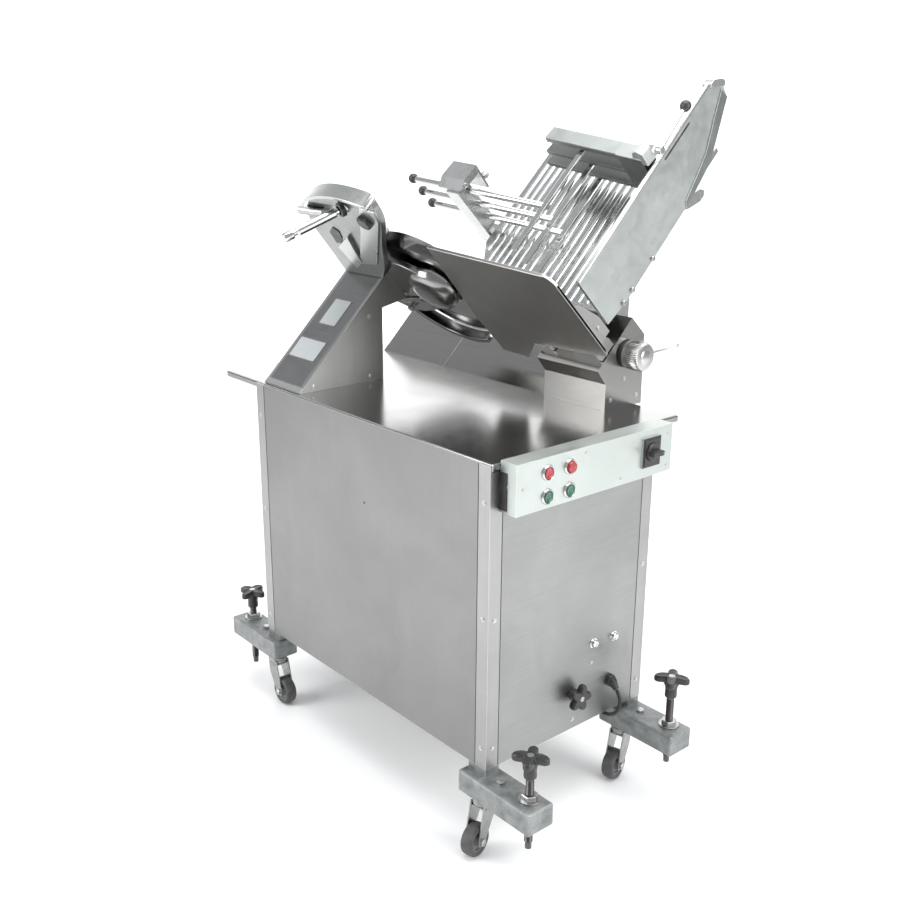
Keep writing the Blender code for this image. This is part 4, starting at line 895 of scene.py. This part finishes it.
add_slab(bm, smooth_outline(((-0.019, 0.434), (-0.046, 0.442), (-0.082, 0.45), (-0.13, 0.454),
    (-0.175, 0.449), (-0.215, 0.437), (-0.253, 0.418)), ((-0.258, 0.424), (-0.2185, 0.4445),
    (-0.176, 0.457), (-0.13, 0.462), (-0.081, 0.458), (-0.044, 0.45), (-0.016, 0.441))), -0.06, -0.026, "y")
add_lathe(bm, [(0, -0.06), (0.007, -0.06), (0.0075, -0.059), (0.0075, -0.029), (0, -0.029)],
    at((-0.0215, 0, 0.437), -90, "X"), 28)
finish_piece(bm, "sharpener_hood", bright_strip, "frame", HEAD, edge=0.001, rounds=3)
bm = bmesh.new()
add_slab(bm, [(-0.0645, 0.4215), (-0.022, 0.413), (-0.04, 0.38), (-0.186, 0.234), (-0.256, 0.227),
    (-0.1385, 0.342)], -0.049, -0.044, "y")
add_slab(bm, [(-0.275, 0.283), (-0.199, 0.325), (-0.239, 0.234), (-0.277, 0.213)], -0.053, -0.044, "y")
finish_piece(bm, "sharpener_straps", bright_strip, "frame", HEAD, edge=0.0015, rounds=3)
# Painted shade: a black patch on the casting's face stands for the shade in its recess.
bm = bmesh.new()
add_slab(bm, [(-0.24, 0.343), (-0.27, 0.325), (-0.282, 0.288), (-0.262, 0.29), (-0.2405, 0.308),
    (-0.229, 0.3305)], -0.0465, -0.044, "y")
finish_piece(bm, "casting_recess_painted_shade", body_black, "frame", HEAD, edge=0.0006)
toward = Vector((-0.031, -0.12, 0.0465)).to_track_quat("Z", "Y").to_matrix().to_4x4()
on_rod = at((-0.1284, -0.05, 0.4135)) @ toward
bm = bmesh.new()
star(bm, 20, 0.0155, 0.017, 0.0, 0.014, at((-0.078, -0.0455, 0.384), 90, "X"))
add_lathe(bm, [(0.0103, -0.004), (0.015, -0.004), (0.015, 0.0048), (0.0135, 0.0062), (0.0103, 0.0062),
    (0.0103, -0.004)], on_rod, 36)
finish_piece(bm, "clamp_knob_and_collar", switch_black, "frame", HEAD, edge=0)
bm = bmesh.new()
stone = [(0, -0.3)]
for k in range(16):
    stone += [(0.0082, -0.298 + 0.006 * k), (0.0095, -0.296 + 0.006 * k), (0.0095, -0.294 + 0.006 * k)]
add_lathe(bm, stone + [(0, -0.2015)], at((0, -0.05, 0.396), 90, "Y"), 24)
finish_piece(bm, "stone_holder", screw_steel, "frame", HEAD, edge=0)
bm = bmesh.new()
add_lathe(bm, [(0, 0), (0.006, 0), (0.006, 0.014), (0.0092, 0.0155), (0.0098, 0.0165), (0.0098, 0.099),
    (0.0092, 0.1), (0.006, 0.103), (0.006, 0.109), (0.0092, 0.111), (0.0098, 0.112), (0.0098, 0.1285),
    (0.009, 0.1305), (0.007, 0.132), (0, 0.132)], None, 40)
finish_piece(bm, "feed_rod", chrome, "sharpener_rod", HEAD @ on_rod, ("sharpener_rod",), 0, 30)


# ---- Carriage -----------------------------------------------------------------------------
# A heavy casting that runs on the hidden rail behind the housing and carries the whole chute;
# two cap screws hold the chute to its sloping seat.
carriage_cast = stainless("carriage_cast", (0.33, 0.335, 0.33), 0.38, (90, 90, 90), 12.0, 0.12, 0.3)
refinish("carriage", carriage_cast)
bm = bmesh.new()
for x in (0.08, 0.17):
    add_lathe(bm, [(0, 0), (0.0065, 0), (0.0065, 0.0065), (0.0058, 0.0075), (0.0034, 0.0075),
        (0.0034, 0.004), (0, 0.004)], at((x, 0.338, 0.9), -90, "X"), 24)
finish_piece(bm, "carriage_screws", screw_steel, "carriage", edge=0.0002)


# ---- Chute floor --------------------------------------------------------------------------
# A polished plate, pressed into long ribs so that the food slides freely, with a bright lip
# across its lower end.
floor_steel = stainless("floor_steel", (0.6, 0.61, 0.6), 0.16, (200, 6, 200), 7.0, 0.06, 0.15)
refinish("chute_floor", floor_steel)
bm = bmesh.new()
for k in range(19):
    x = -0.165 + 0.023 * k
    start = 0.076 if x > -0.05 else (0.076 + 0.7 * (-0.05 - x) if x > -0.15 else 0.146 + 1.5 * (-0.15 - x))
    add_slab(bm, [(x - 0.006, 0.0299), (x - 0.005, 0.0316), (x - 0.003, 0.0328), (x, 0.0332),
        (x + 0.003, 0.0328), (x + 0.005, 0.0316), (x + 0.006, 0.0299)], start, 0.496, "y")
finish_piece(bm, "floor_ribs", floor_steel, "carriage", HEAD, edge=0)
bm = bmesh.new()
add_block(bm, (-0.048, 0.264), (0.0605, 0.0735), (0.0299, 0.0345))
finish_piece(bm, "floor_lip", bright_strip, "carriage", HEAD, edge=0.0012, rounds=3)


# ---- Chute wall ---------------------------------------------------------------------------
# A pale bead-blasted side plate with a round bright rim, a hollow stiffening flange behind, a
# capped upper end, a slot for the clamp and a wing handle; it is bolted to the floor plate.
wall_pale = stainless("wall_pale", (0.46, 0.485, 0.472), 0.4, (60, 60, 60), 9.0, 0.04, 0.15, 0.05, 0.00001)
flange_steel = stainless("flange_steel", (0.33, 0.35, 0.34), 0.32, (60, 60, 60), 9.0, 0.06, 0.2)
refinish("chute_wall", wall_pale)
bm = bmesh.new()
add_lathe(bm, [(0, 0), (0.0045, 0.0005), (0.005, 0.002), (0.005, 0.5), (0.0045, 0.5015), (0, 0.502)],
    at((0.272, 0.046, 0.145), -89.43, "X"), 20)
add_slab(bm, [(0.546, 0.146), (0.549, 0.1535), (0.562, 0.1525), (0.584, 0.1345), (0.587, 0.126),
    (0.58, 0.118), (0.56, 0.134)], 0.26, 0.283, "x")
bmesh.ops.transform(bm, matrix=HOME.inverted() @ HEAD, verts=bm.verts)
finish_piece(bm, "wall_rim", bright_strip, "carriage", HOME, edge=0.0012, rounds=3)
bm = bmesh.new()
add_slab(bm, [(0.578, 0.0925), (0.52, 0.062), (0.46, 0.0305), (0.41, 0.0232), (0.35, 0.0165),
    (0.355, 0.029), (0.41, 0.042), (0.46, 0.056), (0.52, 0.09), (0.572, 0.118)], 0.2755, 0.2785, "x")
bmesh.ops.transform(bm, matrix=HOME.inverted() @ HEAD, verts=bm.verts)
finish_piece(bm, "wall_flange", flange_steel, "carriage", HOME, edge=0.0012, rounds=3)
bm = bmesh.new()
add_slab(bm, [(0.365, 0.1355), (0.46, 0.136), (0.462, 0.1378), (0.46, 0.1396), (0.365, 0.1391),
    (0.363, 0.1373)], 0.2758, 0.2766, "x")
finish_piece(bm, "wall_slot", dark_joint_and_painted_shade, "carriage", HEAD, edge=0)
bm = bmesh.new()
for t in (0.214, 0.134, 0.1):
    add_lathe(bm, [(0, 0), (0.0058, 0), (0.0058, 0.0045), (0.0046, 0.0058), (0, 0.0062)],
        at((0.276, t, 0.0185), 90, "Y"), 24)
finish_piece(bm, "wall_bolts", screw_steel, "carriage", HEAD, edge=0.0003)
bm = bmesh.new()
add_slab(bm, [(0.34, 0.028), (0.351, 0.041), (0.372, 0.026), (0.392, 0.012), (0.414, 0.0), (0.42, -0.01),
    (0.412, -0.018), (0.396, -0.018), (0.362, -0.002), (0.344, 0.012)], 0.259, 0.2675, "x")
finish_piece(bm, "wall_wing", bright_strip, "carriage", HEAD, edge=0.001, rounds=3)


# ---- Fence --------------------------------------------------------------------------------
# A bracket and a folded hood outside the left edge of the chute, bored for the three cross rods
# that slide through it; a small knob behind pinches them.
fence_steel = stainless("fence_steel", (0.58, 0.59, 0.585), 0.24, (90, 90, 90), 12.0, 0.08, 0.25)
refinish("fence", fence_steel)
bm = bmesh.new()
add_lathe(bm, [(0, 0), (0.007, 0), (0.007, 0.002), (0.0092, 0.003), (0.0092, 0.011), (0.008, 0.0125),
    (0, 0.013)], at((-0.19, 0.286, 0.14), -90, "X"), 28)
add_lathe(bm, [(0, 0), (0.0055, 0), (0.0055, 0.004), (0.0045, 0.005), (0, 0.005)],
    at((-0.192, 0.236, 0.168), 90, "Y"), 6)
finish_piece(bm, "fence_fittings", screw_steel, "carriage", HEAD, edge=0.0003)


# ---- Side guides --------------------------------------------------------------------------
# Three polished cross rods with moulded ball ends, each brazed to a flat bar that steadies the
# food; every guide slides through the fence on its own.
rod_chrome = stainless("rod_chrome", (0.64, 0.64, 0.63), 0.12, (8, 90, 90), 20.0, 0.05, 0.12)
across = at((-0.175, 0.238, 0), -5.4, "Z")
for name, level in (("low", 0.071), ("middle", 0.113), ("high", 0.155)):
    body = "side_guide_" + name
    on_guide = across @ at((0, 0, level - 0.008), 90, "Y")
    bm = bmesh.new()
    add_lathe(bm, [(0, -0.238), (0.0075, -0.238), (0.0075, 0.2455), (0.0066, 0.247), (0, 0.247)], on_guide,
        36)
    bar = [(0.062, 0.095), (0.0636, 0.0924), (0.0744, 0.0924), (0.076, 0.095), (0.076, 0.369),
        (0.0744, 0.3716), (0.0636, 0.3716), (0.062, 0.369)]
    add_slab(bm, bar, level - 0.002, level + 0.002)
    finish_piece(bm, "guide_rod_" + name, rod_chrome, body, HEAD, (body,), 0.0005, 35)
    bm = bmesh.new()
    ball = [(0.012 * math.sin(math.radians(a)),
        -0.24 - 0.012 * math.cos(math.radians(a))) for a in range(12, 141, 8)]
    add_lathe(bm, [(0, -0.252)] + ball + [(0.0082, -0.23), (0.0082, -0.225), (0, -0.225)], on_guide, 36)
    finish_piece(bm, "guide_ball_" + name, switch_black, body, HEAD, edge=0)


# ---- Pusher -------------------------------------------------------------------------------
# Three serrated bars on one end block, which bite into the food and push it down the chute;
# a bracket hooks the block over the wall, and a pale cover hides the top bar.
pusher_dark = stainless("pusher_dark", (0.15, 0.155, 0.15), 0.34, (90, 90, 90), 15.0, 0.14, 0.3)
pusher_place = HEAD @ at((0, 0.382, 0), -9.3, "Z")
bm = bmesh.new()
for level, left in ((0.071, -0.1), (0.113, -0.07), (0.155, -0.04)):
    teeth = []
    count = round((0.19 - left) / 0.01)
    for k in range(count):
        x = 0.19 - k * (0.19 - left) / count
        teeth += [(x, level + 0.007), (x - 0.005, level + 0.004)]
    teeth += [(left, level + 0.007), (left, level + 0.015), (left + 0.002, level + 0.016),
        (0.19, level + 0.016)]
    add_slab(bm, teeth, -0.012, 0.02, "y")
add_slab(bm, [(0.188, 0.075), (0.262, 0.075), (0.262, 0.171), (0.188, 0.171)], -0.012, 0.02, "y")
finish_piece(bm, "pusher_bars", pusher_dark, "pusher", pusher_place, ("pusher",), 0.0006, 35)
bm = bmesh.new()
add_block(bm, (-0.04, 0.19), (-0.011, 0.021), (0.1708, 0.174))
add_block(bm, (0.189, 0.262), (-0.013, 0.021), (0.1708, 0.174))
add_slab(bm, [(0.24, 0.1738), (0.262, 0.16), (0.2762, 0.159), (0.2762, 0.189), (0.262, 0.195),
    (0.248, 0.19)], -0.012, 0.012, "y")
finish_piece(bm, "pusher_cover", wall_pale, "pusher", pusher_place, edge=0.0008)


# ---- Clamp lever --------------------------------------------------------------------------
# A black lever with a moulded ball that pinches the pusher's bracket on the wall; it turns on a
# short cross pin.
lever_place = HEAD @ at((0.2855, 0.356, 0.172), 4, "X")
bm = bmesh.new()
add_lathe(bm, [(0, 0), (0.0045, 0), (0.0045, 0.098), (0, 0.098)], at((0, 0, 0), -90, "X"), 20)
add_lathe(bm, [(0, -0.008), (0.0072, -0.008), (0.008, -0.007), (0.008, 0.007), (0.0072, 0.008), (0, 0.008)],
    at((0, 0, 0), 90, "Y"), 28)
finish_piece(bm, "clamp_arm", chrome, "clamp_lever", lever_place, ("clamp_lever",), 0.0002)
bm = bmesh.new()
ball = [(0.0115 * math.sin(math.radians(a)), 0.108 - 0.0115 * math.cos(math.radians(a))) for a in range(30,
    171, 10)]
add_lathe(bm, [(0, 0.096), (0.0055, 0.096)] + ball + [(0, 0.1195)], at((0, 0, 0), -90, "X"), 36)
finish_piece(bm, "clamp_ball", switch_black, "clamp_lever", lever_place, edge=0)


# ---- Studio -------------------------------------------------------------------------------
# A plain pale sweep under and behind the machine, lit by a broad soft box overhead and two
# large side panels, while a fourth panel washes the back wall white.
studio_white, nodes, links, shader = surface("studio_white", (0.92, 0.92, 0.92), 0.9, 0.0)
speckle = speckled(nodes, 0.8)
tint = blend_colours(nodes, links, speckle.outputs["Patches"], (0.92, 0.92, 0.92), (0.9, 0.9, 0.9))
links.new(tint, shader.inputs["Base Color"])
bm = bmesh.new()
sweep = [(-9, 0), (5.0, 0)] + [(5.0 + 2.5 * math.sin(math.radians(a)),
    2.5 - 2.5 * math.cos(math.radians(a))) for a in range(10, 91, 10)] + [(7.5, 9)]
for left in (-9, 9):
    for y, z in sweep:
        bm.verts.new((left, y, z))
bm.verts.ensure_lookup_table()
for k in range(len(sweep) - 1):
    bm.faces.new([bm.verts[i] for i in (k, k + 1, k + 1 + len(sweep), k + len(sweep))])
mesh = bpy.data.meshes.new("sweep")
bm.to_mesh(mesh)
bm.free()
mesh.materials.append(studio_white)
mesh.shade_smooth()
floor = bpy.data.objects.new("sweep", mesh)
floor.rotation_euler = (0, 0, turn)
floor.location = (0, 0, -0.0005)
bpy.context.scene.collection.objects.link(floor)

world = bpy.data.worlds.new("studio_air")
bpy.context.scene.world = world
world.use_nodes = True
world.node_tree.nodes["Background"].inputs["Color"].default_value = (0.95, 0.97, 1.0, 1)
world.node_tree.nodes["Background"].inputs["Strength"].default_value = 0.55


def soft_box(name, spot, size, power, aim=(0, 0, 0.8)):
    """A large rectangular area light aimed at the machine."""
    lamp = bpy.data.lights.new(name, "AREA")
    lamp.shape = "RECTANGLE"
    lamp.size, lamp.size_y = size
    lamp.energy = power
    light = bpy.data.objects.new(name, lamp)
    bpy.context.scene.collection.objects.link(light)
    light.location = spot
    light.rotation_mode = "QUATERNION"
    light.rotation_quaternion = (Vector(aim) - Vector(spot)).to_track_quat("-Z", "Y")
    return light


soft_box("overhead", (0.3, 0.2, 3.6), (3.2, 3.2), 150)
soft_box("left_panel", (-1.6, -3.4, 2.0), (2.2, 2.6), 110)
soft_box("right_panel", (3.6, 0.8, 1.8), (2.0, 2.4), 90)
around = Matrix.Rotation(turn, 4, "Z")
soft_box("wall_wash", around @ Vector((0, 3.6, 4.6)), (7.0, 1.6), 420, around @ Vector((0, 7.6, 2.6)))
bpy.context.scene.view_settings.view_transform = "Standard"
